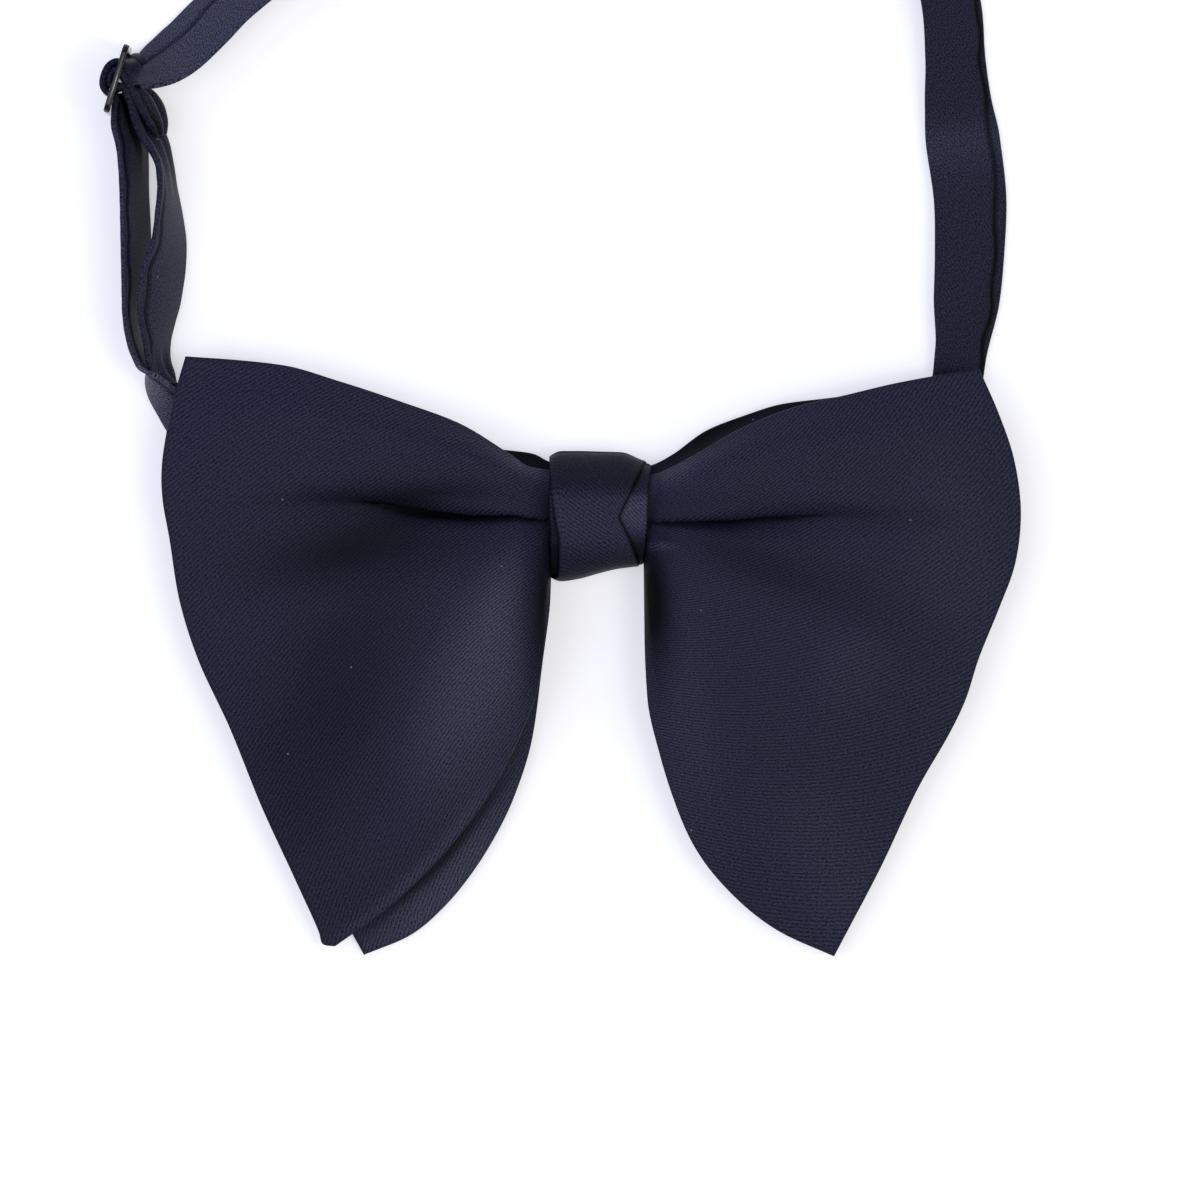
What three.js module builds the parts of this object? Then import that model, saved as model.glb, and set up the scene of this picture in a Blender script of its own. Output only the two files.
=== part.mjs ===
// Butterfly bow tie with an adjustable neck strap, lying on its back on a flat surface.
// Millimetres. +X runs to the right, +Y up towards the neck loop, +Z up off the surface.
// The origin is the middle of the knot's flat back, which rests on the surface.
import * as THREE from "three";
import { mergeVertices } from "three/addons/utils/BufferGeometryUtils.js";

// Driving dimensions
const sheetThickness = 1.4; // the two layers of satin of a sewn and turned bow sheet
const strapThickness = 1.2; // the folded and sewn strap tube
const knotWall = 1.2; // the band that is wrapped round the waists
const knotFront = 13.6; // height of the knot's front above the surface
const clearGap = 0.3; // left between pieces that touch
const channelFloor = knotWall + clearGap; // height of the strap where it passes through the knot
const channelWidth = 9.6; // the strap is bunched where the knot holds it
const sliderPlate = 1.0; // thickness of the adjuster's plate
const sliderWidth = 12.4; // across its three bars
const sliderBar = 1.6; // width of each bar
const sliderRail = 2.0; // the rail at each end of the bars
const slotLength = 13.6; // room for the strap's width between the rails
const sliderCorner = 1.6; // radius of the plate's corners
const slotCorner = 0.6;
const sliderBevel = 0.3;
const sliderCentre = new THREE.Vector2(-84.1, 76.0);
const sliderTurn = THREE.MathUtils.degToRad(-107.2); // heading of the plate, seen from above

// A table's rows are given as plain numbers under the named columns
function table(columns, rows) {
  return rows.map((row) => Object.fromEntries(columns.map((name, i) => [name, row[i]])));
}

// Smooth curve through values at rising knots that never overshoots them
function smooth(knots, values, at) {
  const last = knots.length - 1;
  const t = Math.min(Math.max(at, knots[0]), knots[last]);
  let i = 0;
  while (i < last - 1 && t > knots[i + 1]) i += 1;
  const slope = (k) => (values[k + 1] - values[k]) / (knots[k + 1] - knots[k]);
  const tangent = (k) => {
    if (k === 0) return slope(0);
    if (k === last) return slope(last - 1);
    const before = slope(k - 1);
    const after = slope(k);
    return before * after <= 0 ? 0 : (2 * before * after) / (before + after);
  };
  const span = knots[i + 1] - knots[i];
  const s = (t - knots[i]) / span;
  const rise = (3 - 2 * s) * s * s;
  const start = s * (1 - s) * (1 - s) * span * tangent(i);
  const end = s * s * (1 - s) * span * tangent(i + 1);
  return values[i] + (values[i + 1] - values[i]) * rise + start - end;
}

// One column of a table as a smooth function of the row number
function column(rows, name, at) {
  return smooth(rows.map((row, i) => i), rows.map((row) => row[name]), at);
}

// A closed body from its corners and its faces of three or four corners, faces turned outwards
function closedBody(corners, faces) {
  const triangles = [];
  for (const [a, b, c, d] of faces) {
    triangles.push([a, b, c]);
    if (d !== undefined) triangles.push([a, c, d]);
  }
  let volume = 0;
  for (const [a, b, c] of triangles) {
    volume += corners[a].dot(new THREE.Vector3().crossVectors(corners[b], corners[c]));
  }
  if (volume < 0) triangles.forEach((triangle) => triangle.reverse());
  const geometry = new THREE.BufferGeometry();
  const numbers = corners.flatMap((corner) => corner.toArray());
  geometry.setAttribute("position", new THREE.Float32BufferAttribute(numbers, 3));
  geometry.setIndex(triangles.flat());
  geometry.computeVertexNormals();
  return geometry;
}

// A wing of a bow sheet is drawn by ribs that fan out from the knot. Each rib runs from the top edge
// to the lower edge, crosses the crease at the share "fold" of its length, and has five heights.
const ribColumns = [
  "topX", "topY", "lowX", "lowY", "fold", "zTop", "zUpper", "zFold", "zLower", "zLow",
];
const frontLeft = {
  ribs: table(ribColumns, [
    [0.0, 6.6, 0.0, -6.8, 0.49, 9.4, 10.6, 8.8, 10.6, 9.2],
    [-8.9, 7.9, -8.9, -8.2, 0.46, 9.4, 11.4, 8.8, 11.4, 9.0],
    [-12.4, 8.4, -9.3, -14.5, 0.37, 10.4, 13.6, 9.0, 13.2, 8.4],
    [-16.6, 11.1, -9.8, -21.7, 0.32, 11.0, 15.4, 9.6, 15.2, 8.4],
    [-24.8, 16.1, -11.0, -30.4, 0.31, 11.0, 16.6, 10.4, 16.8, 8.2],
    [-35.0, 19.9, -13.8, -38.0, 0.305, 10.6, 16.6, 11.2, 17.0, 7.6],
    [-45.5, 23.4, -19.8, -49.3, 0.28, 10.2, 15.6, 12.6, 16.2, 7.0],
    [-55.1, 26.2, -28.0, -59.8, 0.27, 9.8, 14.2, 12.8, 14.6, 6.2],
    [-63.9, 27.2, -36.6, -68.1, 0.27, 9.4, 12.2, 11.8, 12.0, 5.2],
    [-72.3, 27.8, -46.9, -75.2, 0.27, 9.2, 9.6, 9.2, 8.4, 4.4],
  ]),
  outerEdge: table(["x", "y"], [
    [-72.3, 27.8], [-74.6, 19.4], [-76.4, 8.8], [-76.3, 3.0], [-75.1, -4.0], [-73.3, -15.0], [-70.1, -25.1],
    [-64.6, -37.0], [-59.1, -50.7], [-53.1, -64.0], [-49.0, -72.7], [-46.9, -75.2],
  ]),
};
const frontRight = {
  ribs: table(ribColumns, [
    [0.0, 6.6, 0.0, -6.8, 0.49, 9.4, 10.6, 8.8, 10.6, 9.2],
    [9.3, 7.1, 8.0, -6.9, 0.48, 9.4, 11.4, 9.0, 11.4, 9.0],
    [11.9, 8.0, 8.1, -14.7, 0.42, 10.2, 13.2, 9.4, 13.2, 8.4],
    [16.8, 10.6, 8.1, -22.6, 0.36, 10.8, 15.0, 10.0, 15.2, 8.2],
    [24.8, 15.2, 8.5, -32.2, 0.34, 11.0, 16.4, 10.8, 16.8, 8.0],
    [33.8, 18.8, 10.7, -42.3, 0.31, 10.8, 16.6, 12.2, 17.0, 7.6],
    [42.9, 21.0, 16.1, -57.0, 0.27, 10.4, 15.6, 13.4, 16.2, 7.0],
    [51.6, 23.1, 22.6, -65.6, 0.26, 10.0, 14.2, 13.4, 14.6, 6.2],
    [59.1, 24.5, 30.8, -72.3, 0.25, 9.4, 12.2, 12.0, 12.0, 5.2],
    [66.1, 25.7, 40.9, -77.0, 0.25, 8.8, 9.4, 9.2, 8.4, 4.2],
  ]),
  outerEdge: table(["x", "y"], [
    [66.1, 25.7], [69.5, 17.9], [72.2, 9.9], [73.4, 0.5], [72.4, -8.4], [69.5, -16.4], [66.0, -25.1],
    [63.8, -32.0], [61.0, -37.9], [55.5, -47.5], [49.1, -61.2], [43.6, -71.8], [40.9, -77.0],
  ]),
};
const rearLeft = {
  ribs: table(ribColumns, [
    [0.0, 6.8, 0.0, -6.8, 0.5, 6.0, 6.6, 6.0, 6.6, 6.0],
    [-8.9, 8.4, -8.9, -8.1, 0.5, 6.0, 6.6, 6.0, 6.6, 5.8],
    [-11.8, 10.8, -9.1, -15.6, 0.45, 6.2, 7.0, 6.1, 6.8, 5.1],
    [-21.0, 12.1, -10.3, -26.6, 0.4, 6.4, 7.4, 6.2, 7.2, 4.6],
    [-28.0, 14.7, -11.9, -38.8, 0.36, 6.6, 8.0, 6.6, 7.4, 4.0],
    [-36.8, 18.2, -15.1, -49.3, 0.34, 6.8, 8.4, 7.0, 7.4, 3.4],
    [-45.5, 21.0, -20.6, -59.8, 0.32, 6.8, 8.2, 7.2, 7.0, 2.8],
    [-54.2, 23.1, -27.1, -68.2, 0.3, 6.6, 7.8, 7.2, 6.8, 2.4],
    [-62.1, 24.3, -33.1, -73.3, 0.3, 6.8, 7.4, 6.8, 5.6, 1.8],
    [-69.1, 25.0, -41.3, -76.8, 0.3, 7.2, 7.2, 6.2, 4.2, 1.4],
  ]),
  outerEdge: table(["x", "y"], [
    [-69.1, 25.0], [-71.4, 16.8], [-72.6, 6.3], [-71.8, -4.2], [-69.6, -15.6], [-66.1, -26.1],
    [-61.2, -37.4], [-55.1, -49.7], [-49.0, -61.9], [-44.6, -70.7], [-41.3, -76.8],
  ]),
};
const rearRight = {
  ribs: table(ribColumns, [
    [0.0, 6.8, 0.0, -6.8, 0.5, 6.0, 6.6, 6.0, 6.6, 6.0],
    [9.4, 7.2, 8.1, -6.9, 0.5, 6.0, 6.8, 6.0, 6.8, 6.0],
    [12.8, 10.8, 8.9, -14.7, 0.45, 6.2, 7.2, 6.1, 7.0, 5.2],
    [18.5, 14.9, 9.6, -22.6, 0.42, 6.4, 7.8, 6.2, 7.4, 4.8],
    [24.8, 17.4, 10.1, -32.2, 0.38, 6.6, 8.6, 6.6, 8.6, 4.6],
    [32.0, 19.6, 12.4, -41.8, 0.34, 6.8, 8.6, 7.0, 8.4, 4.0],
    [40.1, 20.6, 17.7, -56.0, 0.3, 6.8, 8.4, 7.2, 7.8, 3.2],
    [49.0, 21.7, 24.0, -64.0, 0.28, 6.6, 7.8, 7.2, 6.8, 2.4],
    [56.0, 22.8, 31.8, -70.5, 0.28, 6.4, 7.2, 6.8, 5.6, 1.8],
    [63.0, 23.1, 39.9, -74.2, 0.28, 6.2, 6.4, 6.0, 4.2, 1.4],
  ]),
  outerEdge: table(["x", "y"], [
    [63.0, 23.1], [66.5, 15.9], [69.3, 8.0], [70.7, 0.2], [69.6, -7.7], [66.8, -15.7], [63.3, -24.3],
    [58.1, -37.1], [52.8, -46.5], [46.5, -59.8], [41.6, -68.9], [39.9, -74.2],
  ]),
};

// Shares of a rib's length on each side of the crease where the sheet has a row of corners
const rowsAboveFold = [0, 0.14, 0.32, 0.52, 0.72, 0.87, 0.95, 1];
const rowsBelowFold = [0.04, 0.11, 0.22, 0.36, 0.52, 0.68, 0.82, 0.93, 1];
const steepest = 1.7; // a steep stretch is cut this much thicker at most, measured straight down

// A rib's profile: an upper puff whose edge drops into the crease, then the long dome of the lower part,
// which turns down at its edge. "up" and "down" are shares of the stretch above and below the crease, and
// the height is mixed from the two named columns.
const ribProfile = table(["up", "down", "from", "to", "mix"], [
  [0, 0, "zTop", "zTop", 0],
  [0.42, 0, "zUpper", "zUpper", 0],
  [0.86, 0, "zUpper", "zFold", 0.3],
  [1, 0, "zFold", "zFold", 0],
  [1, 0.12, "zFold", "zLower", 0.55],
  [1, 0.38, "zLower", "zLower", 0],
  [1, 0.84, "zLower", "zLow", 0.5],
  [1, 1, "zLow", "zLow", 0],
]);

function ribHeight(ribs, r, share) {
  const fold = column(ribs, "fold", r);
  const shares = ribProfile.map((stop) => stop.up * fold + stop.down * (1 - fold));
  const heights = ribProfile.map((stop) => {
    return THREE.MathUtils.lerp(column(ribs, stop.from, r), column(ribs, stop.to, r), stop.mix);
  });
  return smooth(shares, heights, share);
}

function wingCurve(wing) {
  const points = wing.outerEdge.map((p) => new THREE.Vector3(p.x, p.y, 0));
  return new THREE.CatmullRomCurve3(points, false, "centripetal");
}

// A corner of the upper face: r counts ribs out from the knot, and the ribs bend towards the outer edge
function wingPoint(wing, edge, r, share) {
  const { ribs } = wing;
  const last = ribs.length - 1;
  const top = new THREE.Vector3(column(ribs, "topX", r), column(ribs, "topY", r), 0);
  const low = new THREE.Vector3(column(ribs, "lowX", r), column(ribs, "lowY", r), 0);
  const corner = new THREE.Vector3(ribs[last].topX, ribs[last].topY, 0);
  const tip = new THREE.Vector3(ribs[last].lowX, ribs[last].lowY, 0);
  const bulge = edge.getPointAt(share).sub(corner.lerp(tip, share));
  const point = top.lerp(low, share).addScaledVector(bulge, (r / last) ** 2);
  point.z = ribHeight(ribs, r, share);
  return point;
}

// One sheet with both wings: a net of corners, its copy below, and the rim between them
function bowSheet(left, right, columnsPerRib) {
  const edges = { left: wingCurve(left), right: wingCurve(right) };
  const reach = (left.ribs.length - 1) * columnsPerRib;
  const acrossSteps = 2 * reach;
  const rowCount = rowsAboveFold.length + rowsBelowFold.length;
  const net = [];
  for (let i = 0; i <= acrossSteps; i += 1) {
    const onLeft = i < reach;
    const wing = onLeft ? left : right;
    const edge = onLeft ? edges.left : edges.right;
    const r = Math.abs(i - reach) / columnsPerRib;
    const fold = column(wing.ribs, "fold", r);
    const above = rowsAboveFold.map((share) => share * fold);
    const below = rowsBelowFold.map((share) => fold + share * (1 - fold));
    net.push([...above, ...below].map((share) => wingPoint(wing, edge, r, share)));
  }
  const at = (i, j) => i * rowCount + j;
  const upper = net.flat();
  const under = [];
  for (let i = 0; i <= acrossSteps; i += 1) {
    for (let j = 0; j < rowCount; j += 1) {
      const alongX = net[Math.min(i + 1, acrossSteps)][j].clone().sub(net[Math.max(i - 1, 0)][j]);
      const alongY = net[i][Math.min(j + 1, rowCount - 1)].clone().sub(net[i][Math.max(j - 1, 0)]);
      const tilt = Math.abs(alongX.cross(alongY).normalize().z);
      const drop = sheetThickness * Math.min(1 / Math.max(tilt, 1 / steepest), steepest);
      const corner = net[i][j].clone();
      corner.z = Math.max(corner.z - drop, 0);
      under.push(corner);
    }
  }
  const count = upper.length;
  const faces = [];
  for (let i = 0; i < acrossSteps; i += 1) {
    for (let j = 0; j < rowCount - 1; j += 1) {
      faces.push([at(i, j), at(i + 1, j), at(i + 1, j + 1), at(i, j + 1)]);
      faces.push([at(i, j + 1), at(i + 1, j + 1), at(i + 1, j), at(i, j)].map((k) => k + count));
    }
    for (const j of [0, rowCount - 1]) {
      const rim = [at(i, j), at(i, j) + count, at(i + 1, j) + count, at(i + 1, j)];
      faces.push(j === 0 ? rim : rim.reverse());
    }
  }
  for (let j = 0; j < rowCount - 1; j += 1) {
    for (const i of [0, acrossSteps]) {
      const rim = [at(i, j), at(i, j + 1), at(i, j + 1) + count, at(i, j) + count];
      faces.push(i === 0 ? rim : rim.reverse());
    }
  }
  return closedBody(upper.concat(under), faces);
}

// The knot's band at seven places from its left rim to its right rim, seen from the front
const knotCuts = table(["left", "top", "bottom"], [
  [0.0, 10.4, -10.6], [0.12, 11.3, -11.5], [0.3, 11.4, -11.2], [0.5, 11.3, -10.3], [0.7, 11.2, -9.5],
  [0.88, 10.1, -9.1], [1.0, 9.2, -8.9],
]);
const knotRimX = -8.5;
const knotRightRim = { topX: 8.9, bottomX: 7.5 };
const knotRoundness = 3.2; // 2 is an ellipse, larger is squarer
const backFlat = 0.5; // the round section is cut off this far in, which makes the flat back
const overlapStep = 0.6; // how far the band's outer layer stands over the folded end
const overlapVertexX = 2.9;
const overlapEndX = 7.4;
const overlapVertexTurn = 0.34; // where on the front's half turn, from its top, the fold's vertex lies
const foldSlope = 0.25; // the step down to the folded end is this wide
const foldBackShare = 0.67; // share of the band's width where the fold's column runs round the back
const crownDrop = 0.07; // the front is this much lower at its rims
const ringSteps = 44;
const layerSteps = 8; // columns across the outer layer
const endSteps = 4; // and across the folded end beside it
const bandSteps = layerSteps + endSteps;

// The fold runs in from the right rim to a vertex and out again, like an arrow head pointing left
function overlapX(turn) {
  const fromVertex = Math.abs(turn - overlapVertexTurn) / overlapVertexTurn;
  return THREE.MathUtils.lerp(overlapVertexX, overlapEndX, Math.min(fromVertex, 1));
}

// One corner of the band: x across it, "angle" round it, "inset" below its outer face
function knotPoint(x, across, angle, inset) {
  const cuts = knotCuts.map((cut) => cut.left);
  const top = smooth(cuts, knotCuts.map((cut) => cut.top), across);
  const bottom = smooth(cuts, knotCuts.map((cut) => cut.bottom), across);
  const round = (value) => Math.sign(value) * Math.abs(value) ** (2 / knotRoundness);
  const up = round(Math.sin(angle));
  const crown = up > 0 ? 1 - crownDrop * (2 * across - 1) ** 2 : 1;
  const halfY = (top - bottom) / 2 - inset;
  const halfZ = knotFront / 2 + backFlat - inset;
  const y = (top + bottom) / 2 + halfY * round(Math.cos(angle));
  return new THREE.Vector3(x, y, knotFront / 2 + halfZ * up * crown);
}

function knotBand() {
  const outer = [];
  const inner = [];
  for (let i = 0; i < ringSteps; i += 1) {
    const angle = (2 * Math.PI * i) / ringSteps;
    const front = THREE.MathUtils.clamp(2 * Math.sin(angle), 0, 1);
    const turn = (1 - Math.cos(angle)) / 2;
    const rightRim = THREE.MathUtils.lerp(knotRightRim.topX, knotRightRim.bottomX, turn);
    const backX = THREE.MathUtils.lerp(knotRimX, rightRim, foldBackShare);
    const foldX = THREE.MathUtils.lerp(backX, overlapX(turn), front);
    for (let j = 0; j <= bandSteps; j += 1) {
      const layered = j <= layerSteps;
      const share = layered ? j / layerSteps : (j - layerSteps - 1) / (endSteps - 1);
      const fromX = layered ? knotRimX : foldX + foldSlope;
      const x = THREE.MathUtils.lerp(fromX, layered ? foldX : rightRim, share);
      const across = (x - knotRimX) / (rightRim - knotRimX);
      const face = knotPoint(x, across, angle, layered ? 0 : overlapStep * front);
      const lining = knotPoint(x, across, angle, knotWall);
      face.z = Math.max(face.z, 0);
      lining.z = Math.max(lining.z, knotWall);
      outer.push(face);
      inner.push(lining);
    }
  }
  const row = bandSteps + 1;
  const count = outer.length;
  const at = (i, j) => (i % ringSteps) * row + j;
  const faces = [];
  for (let i = 0; i < ringSteps; i += 1) {
    for (let j = 0; j < bandSteps; j += 1) {
      faces.push([at(i, j), at(i, j + 1), at(i + 1, j + 1), at(i + 1, j)]);
      faces.push([at(i + 1, j), at(i + 1, j + 1), at(i, j + 1), at(i, j)].map((k) => k + count));
    }
    faces.push([at(i, 0), at(i + 1, 0), at(i + 1, 0) + count, at(i, 0) + count]);
    const rim = [at(i + 1, bandSteps), at(i, bandSteps)];
    faces.push([...rim, rim[1] + count, rim[0] + count]);
  }
  return closedBody(outer.concat(inner), faces);
}

// A place beside the slider: out from its plate, and along the plate from its middle
function bySlider(out, along) {
  const heading = new THREE.Vector2(Math.cos(sliderTurn), Math.sin(sliderTurn));
  const outward = new THREE.Vector2(-heading.y, heading.x);
  return sliderCentre.clone().addScaledVector(outward, out).addScaledVector(heading, along).toArray();
}

// The strap's route. "tilt" turns its width up from the surface, with the edge nearer the inside of the
// loop higher, and past 90 degrees the strap has been turned over. "lift" is the lowest edge's height.
const strapColumns = ["x", "y", "width", "tilt", "lift"];
const layerRise = strapThickness + clearGap; // the strap lies on itself where it is doubled
const rightStrap = table(strapColumns, [
  [1.8, 0.2, channelWidth, 0, channelFloor],
  [8.0, 0.2, channelWidth, 0, channelFloor],
  [13.0, 1.0, 11.0, 0, 0.9],
  [20.0, 3.2, 12.6, 0, 0],
  [32.0, 7.0, 13.0, 0, 0],
  [46.0, 11.0, 13.0, 2, 0],
  [56.0, 15.0, 11.5, 6, 0],
  [61.6, 21.0, 9.2, 14, 0],
  [63.1, 28.5, 9.6, 18, 0],
  [64.1, 38.0, 12.1, 16, 0],
  [64.6, 46.0, 12.6, 14, 0],
  [64.7, 55.5, 13.0, 11, 0],
  [63.5, 65.3, 13.2, 8, 0],
  [62.6, 72.5, 12.1, 14, 0],
  [62.1, 80.0, 11.4, 22, 0],
  [61.2, 90.3, 12.0, 30, 0],
]);
const farArc = {
  handle: 60,
  headingStart: 99,
  headingEnd: 220.5,
  width: 12.8,
  tiltEnds: 38,
  tiltMiddle: 56,
  steps: 8,
};
const upperLeftStrap = table(strapColumns, [
  [-64.1, 90.3, 12.6, 43, 0],
  [-68.6, 85.9, 12.7, 41, 0],
  [-73.0, 81.7, 12.8, 42, 0],
  [-76.4, 79.4, 12.8, 44, 0.2],
  [-79.3, 78.7, 12.8, 57, 0.9],
  [...bySlider(1.9, -3.6), 12.8, 86, 2.2],
  [...bySlider(0, -3.2), 12.8, 90, 2.4],
]);
// It slides over the centre bar and back through the plate, and then runs down to the knot
const outerLeftStrap = table(strapColumns, [
  [...bySlider(-1.5, -2.9), 12.8, 90, 2.4],
  [...bySlider(-2.5, -1.9), 12.8, 90, 2.4],
  [...bySlider(-2.85, 0), 12.8, 90, 2.4],
  [...bySlider(-2.5, 1.9), 12.8, 90, 2.4],
  [...bySlider(-1.5, 2.9), 12.8, 90, 2.4],
  [...bySlider(0, 3.2), 12.8, 90, 2.4],
  [...bySlider(1.3, 3.8), 12.8, 90, 2.4],
  [...bySlider(2.1, 5.0), 12.8, 92, 2.2],
  [...bySlider(3.2, 7.1), 12.8, 97, 1.4],
  [-81.9, 64.0, 12.7, 104, 0.4],
  [-81.3, 57.0, 12.6, 108, 0],
  [-81.0, 48.5, 12.6, 111, 0],
  [-81.2, 40.5, 12.4, 108, 0],
  [-81.6, 34.8, 11.6, 101, 0],
  [-81.4, 30.0, 10.4, 94, 0],
  [-80.3, 26.6, 9.2, 85, 0.1],
  [-78.5, 23.8, 8.2, 70, 0.4],
  [-75.6, 20.2, 7.6, 45, 0.9],
  [-72.0, 17.0, 9.4, 17, 1.4],
  [-66.5, 13.4, 11.4, 5, layerRise],
  [-56.0, 9.2, 12.6, 0, layerRise + 0.1],
  [-40.0, 4.8, 13.0, 0, layerRise + 0.1],
  [-24.0, 1.8, 12.6, 0, layerRise + 0.1],
  [-13.0, 0.2, 11.0, 0, channelFloor + layerRise - 0.5],
  [-8.0, 0.0, channelWidth, 0, channelFloor + layerRise],
  [-3.2, 0.0, channelWidth, 0, channelFloor + layerRise],
  [-2.4, 0.0, channelWidth, 0, channelFloor + layerRise / 2],
]);
// From the knot back up to the slider, where its end is turned round the centre bar under the sliding part
const innerLeftStrap = table(strapColumns, [
  [-3.2, 0.0, channelWidth, 0, channelFloor],
  [-8.0, 0.0, channelWidth, 0, channelFloor],
  [-13.0, 0.2, 11.0, 0, 0.8],
  [-24.0, 2.0, 12.6, 0, 0],
  [-40.0, 6.0, 13.0, 0, 0],
  [-56.0, 11.8, 12.4, 0, 0],
  [-66.0, 17.0, 9.6, 5, 0],
  [-71.8, 20.6, 7.0, 26, 0],
  [-73.6, 22.2, 6.2, 56, 0.1],
  [-75.3, 24.4, 6.2, 88, 0.5],
  [-76.7, 27.0, 7.4, 106, 1.2],
  [-77.4, 30.0, 9.4, 116, 1.6],
  [-77.4, 34.0, 11.2, 121, 1.8],
  [-77.0, 38.0, 12.6, 124, 1.8],
  [-76.3, 42.4, 12.9, 123, 1.2],
  [-75.3, 47.5, 12.8, 115, 0.4],
  [-75.4, 53.0, 12.6, 108, 0],
  [-75.6, 58.0, 12.5, 103, 0],
  [-76.0, 61.5, 12.5, 96, 0],
  [-76.9, 64.6, 12.6, 86, 0.2],
  [-78.1, 67.3, 12.7, 80, 0.6],
  [-79.4, 69.8, 12.8, 79, 1.0],
  [-80.9, 72.1, 12.8, 80, 1.6],
  [...bySlider(1.7, 1.6), 12.8, 87, 2.2],
  [...bySlider(0, 1.65), 12.8, 90, 2.4],
  [...bySlider(-0.95, 1.35), 12.8, 90, 2.4],
  [...bySlider(-1.4, 0), 12.8, 90, 2.4],
  [...bySlider(-0.95, -1.35), 12.8, 90, 2.4],
  [...bySlider(0, -1.65), 12.8, 90, 2.4],
  [...bySlider(1.7, -1.2), 12.8, 92, 2.2],
  [-79.6, 73.0, 12.8, 99, 1.6],
  [-78.0, 70.7, 12.6, 101, 1.0],
  [-76.6, 68.0, 12.4, 100, 0.6],
]);

// The hidden stretch of the loop, round behind the neck, as one plain curve
function farArcRows() {
  const start = rightStrap.at(-1);
  const end = upperLeftStrap[0];
  const heading = (degrees) => {
    const angle = THREE.MathUtils.degToRad(degrees);
    return new THREE.Vector2(Math.cos(angle), Math.sin(angle));
  };
  const from = new THREE.Vector2(start.x, start.y);
  const to = new THREE.Vector2(end.x, end.y);
  const curve = new THREE.CubicBezierCurve(
    from,
    from.clone().addScaledVector(heading(farArc.headingStart), farArc.handle),
    to.clone().addScaledVector(heading(farArc.headingEnd), -farArc.handle),
    to,
  );
  const rows = [];
  for (let i = 1; i < farArc.steps; i += 1) {
    const share = i / farArc.steps;
    const place = curve.getPointAt(share);
    const lean = Math.sin(Math.PI * share);
    const tilt = THREE.MathUtils.lerp(farArc.tiltEnds, farArc.tiltMiddle, lean);
    rows.push({ x: place.x, y: place.y, width: farArc.width, tilt, lift: 0 });
  }
  return rows;
}

// The strap's section across its width and its thickness, as shares of their halves
const strapSection = [[-1, 0], [-0.86, -1], [0.86, -1], [1, 0], [0.86, 1], [-0.86, 1]];
const stepPlain = 4.5; // length of one step where the strap runs smoothly
const stepTight = 0.9; // and where it turns round a bar or folds back
const tightGap = 3; // rows of the route that lie closer than this belong to such a turn
const leastLevel = 0.4; // a route steeper than this keeps the last side direction

function neckStrap() {
  const rows = [...rightStrap, ...farArcRows(), ...upperLeftStrap, ...outerLeftStrap, ...innerLeftStrap];
  const middle = rows.map((row) => {
    const rise = THREE.MathUtils.degToRad(row.tilt);
    const z = row.lift + (row.width / 2) * Math.sin(rise) + (strapThickness / 2) * Math.abs(Math.cos(rise));
    return new THREE.Vector3(row.x, row.y, z);
  });
  const route = new THREE.CatmullRomCurve3(middle, false, "centripetal");
  const last = rows.length - 1;
  const places = [0];
  for (let i = 0; i < last; i += 1) {
    const gap = middle[i].distanceTo(middle[i + 1]);
    const steps = Math.max(1, Math.round(gap / (gap < tightGap ? stepTight : stepPlain)));
    for (let k = 1; k <= steps; k += 1) places.push(i + k / steps);
  }
  const corners = [];
  let side = new THREE.Vector3(0, 1, 0);
  for (const place of places) {
    const along = route.getTangent(place / last);
    const level = new THREE.Vector3(-along.y, along.x, 0);
    if (level.length() > leastLevel) {
      level.normalize();
      if (level.dot(side) < 0) level.negate();
      side = level;
    }
    const rise = THREE.MathUtils.degToRad(column(rows, "tilt", place));
    const across = side.clone().multiplyScalar(Math.cos(rise)).add(new THREE.Vector3(0, 0, Math.sin(rise)));
    const through = new THREE.Vector3().crossVectors(along, across).normalize();
    const width = column(rows, "width", place);
    const centre = route.getPoint(place / last);
    for (const [w, t] of strapSection) {
      const corner = centre.clone().addScaledVector(across, (w * width) / 2);
      corner.addScaledVector(through, (t * strapThickness) / 2);
      corner.z = Math.max(corner.z, 0);
      corners.push(corner);
    }
  }
  const size = strapSection.length;
  const faces = [];
  for (let i = 0; i < places.length - 1; i += 1) {
    for (let k = 0; k < size; k += 1) {
      const next = (k + 1) % size;
      faces.push([i * size + k, i * size + next, (i + 1) * size + next, (i + 1) * size + k]);
    }
  }
  const end = (places.length - 1) * size;
  faces.push([0, 3, 2, 1], [0, 5, 4, 3]);
  faces.push([end, end + 1, end + 2, end + 3], [end, end + 3, end + 4, end + 5]);
  return closedBody(corners, faces);
}

// A rectangle with round corners, centred on a point
function roundedBox(shape, x, y, width, height, radius) {
  const left = x - width / 2;
  const low = y - height / 2;
  shape.moveTo(left + radius, low);
  shape.lineTo(left + width - radius, low);
  shape.absarc(left + width - radius, low + radius, radius, -Math.PI / 2, 0, false);
  shape.absarc(left + width - radius, low + height - radius, radius, 0, Math.PI / 2, false);
  shape.absarc(left + radius, low + height - radius, radius, Math.PI / 2, Math.PI, false);
  shape.absarc(left + radius, low + radius, radius, Math.PI, 1.5 * Math.PI, false);
  return shape;
}

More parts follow.
